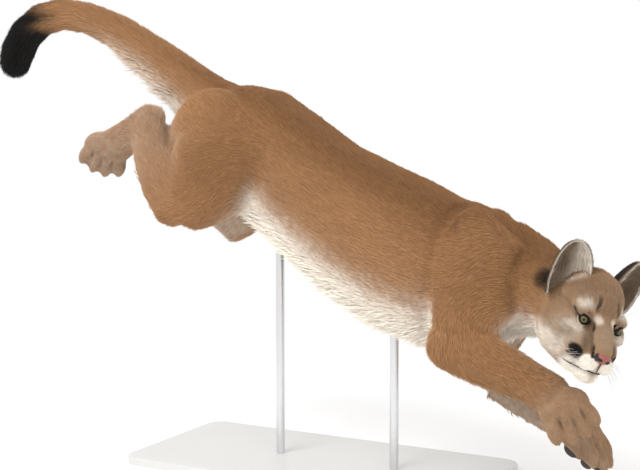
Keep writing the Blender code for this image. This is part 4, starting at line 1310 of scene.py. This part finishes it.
# Whiskers and claws. Stiff tapered hairs set in rows in the muzzle and over the eyes, and horn
# claws drawn back into the toes, so only their tips show.
def add_thread(bm, points, radii, sides=5):
    """A tapered tube through points, closed at both ends."""
    rings = []
    for i, (at, radius) in enumerate(zip(points, radii)):
        along = (points[min(i + 1, len(points) - 1)] - points[max(i - 1, 0)]).normalized()
        across = along.orthogonal().normalized()
        other = along.cross(across)
        turns = [2 * math.pi * k / sides for k in range(sides)]
        spokes = [across * math.cos(turn) + other * math.sin(turn) for turn in turns]
        rings.append([bm.verts.new(at + spoke * radius) for spoke in spokes])
    join_rings(bm, rings)


def add_whisker(bm, root, reach, sag, first, steps, girth):
    """A hair from inside the skin at root, along reach, bent by sag."""
    stations = [root + reach * t + sag * t * t for t in np.linspace(first, 1, steps)]
    add_thread(bm, [head_axes @ point for point in stations], np.linspace(girth, 0.00008, steps))


whisker_form = bmesh.new()
chance = np.random.default_rng(5)
for s in (1, -1):
    for row in range(4):
        for place in range(5):
            back = place / 4
            root = Vector((0.112 - 0.03 * back, s * (0.034 + 0.006 * back), -0.044 - 0.0075 * row))
            way = Vector((0.55 - 0.75 * back, s * 0.95, -0.1 - 0.18 * row))
            way = (way + Vector(chance.normal(0, 0.1, 3))).normalized()
            length = 0.034 + 0.018 * back + 0.01 * chance.random()
            sag = Vector((-0.3, 0, -0.35)) * length
            add_whisker(whisker_form, root, way * length, sag, -0.06, 8, 0.00036)
    for place in range(4):
        root = Vector((0.036 + 0.006 * place, s * (0.047 - 0.007 * place), 0.046))
        way = Vector((0.55, s * (0.5 - 0.15 * place), 0.75))
        sag = Vector((-0.012, 0, -0.004))
        add_whisker(whisker_form, root, way * 0.04, sag, -0.05, 7, 0.0003)
whiskers = object_from(whisker_form, "whiskers")

claw_form = bmesh.new()
for foot in FEET.values():
    axes, lengthwise, across, under, places = toes_of(*foot)
    width = foot[4]
    for knuckle, tip in places:
        root = tip + lengthwise * width * 0.06 + under * width * 0.05
        stations = [root + lengthwise * 0.007 * t + under * 0.005 * t * t for t in np.linspace(0, 1, 6)]
        add_thread(claw_form, stations, (0.0022, 0.0021, 0.0018, 0.0014, 0.0009, 0.0003), 12)
claws = object_from(claw_form, "claws")
for piece, name, slot, tones, roughness in (
    (whiskers, "whisker_hair", "whisker", ((0.7, 0.68, 0.64), (0.42, 0.4, 0.37)), 0.35),
    (claws, "claw_horn", "claw", ((0.36, 0.29, 0.21), (0.16, 0.12, 0.08)), 0.3),
):
    horn, tree, shader = new_finish(name, {"Roughness": roughness})
    feed(tree, shader.inputs, {"Base Color": mixed(tree, cloud(tree, 150.0), *tones)})
    piece.data.materials.append(horn)
    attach(piece, "root")


# Stand. A board lacquered in satin off-white with rounded corners, and two drawn steel rods that
# go up into the belly.
board_finish, tree, shader = new_finish("board_lacquer", {
    "Roughness": 0.38, "Coat Weight": 0.2, "Coat Roughness": 0.25,
})
lacquer = mixed(tree, cloud(tree, 5.0), (0.66, 0.655, 0.64), (0.61, 0.605, 0.59))
feed(tree, shader.inputs, {"Base Color": lacquer})
bumped(tree, shader, cloud(tree, 260.0), 0.12, 0.0005)

rod_finish, tree, shader = new_finish("drawn_steel", {"Metallic": 1.0, "Base Color": (0.72, 0.72, 0.73, 1)})
drawn_lines = worked(tree, "MULTIPLY", cloud(tree, 420.0, 2.0), 0.22)
feed(tree, shader.inputs, {"Roughness": worked(tree, "ADD", 0.2, drawn_lines)})
for node, finish in (
    ("stand_base", board_finish), ("stand_rod_front", rod_finish), ("stand_rod_rear", rod_finish),
):
    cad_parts[node].material_slots[0].material = finish
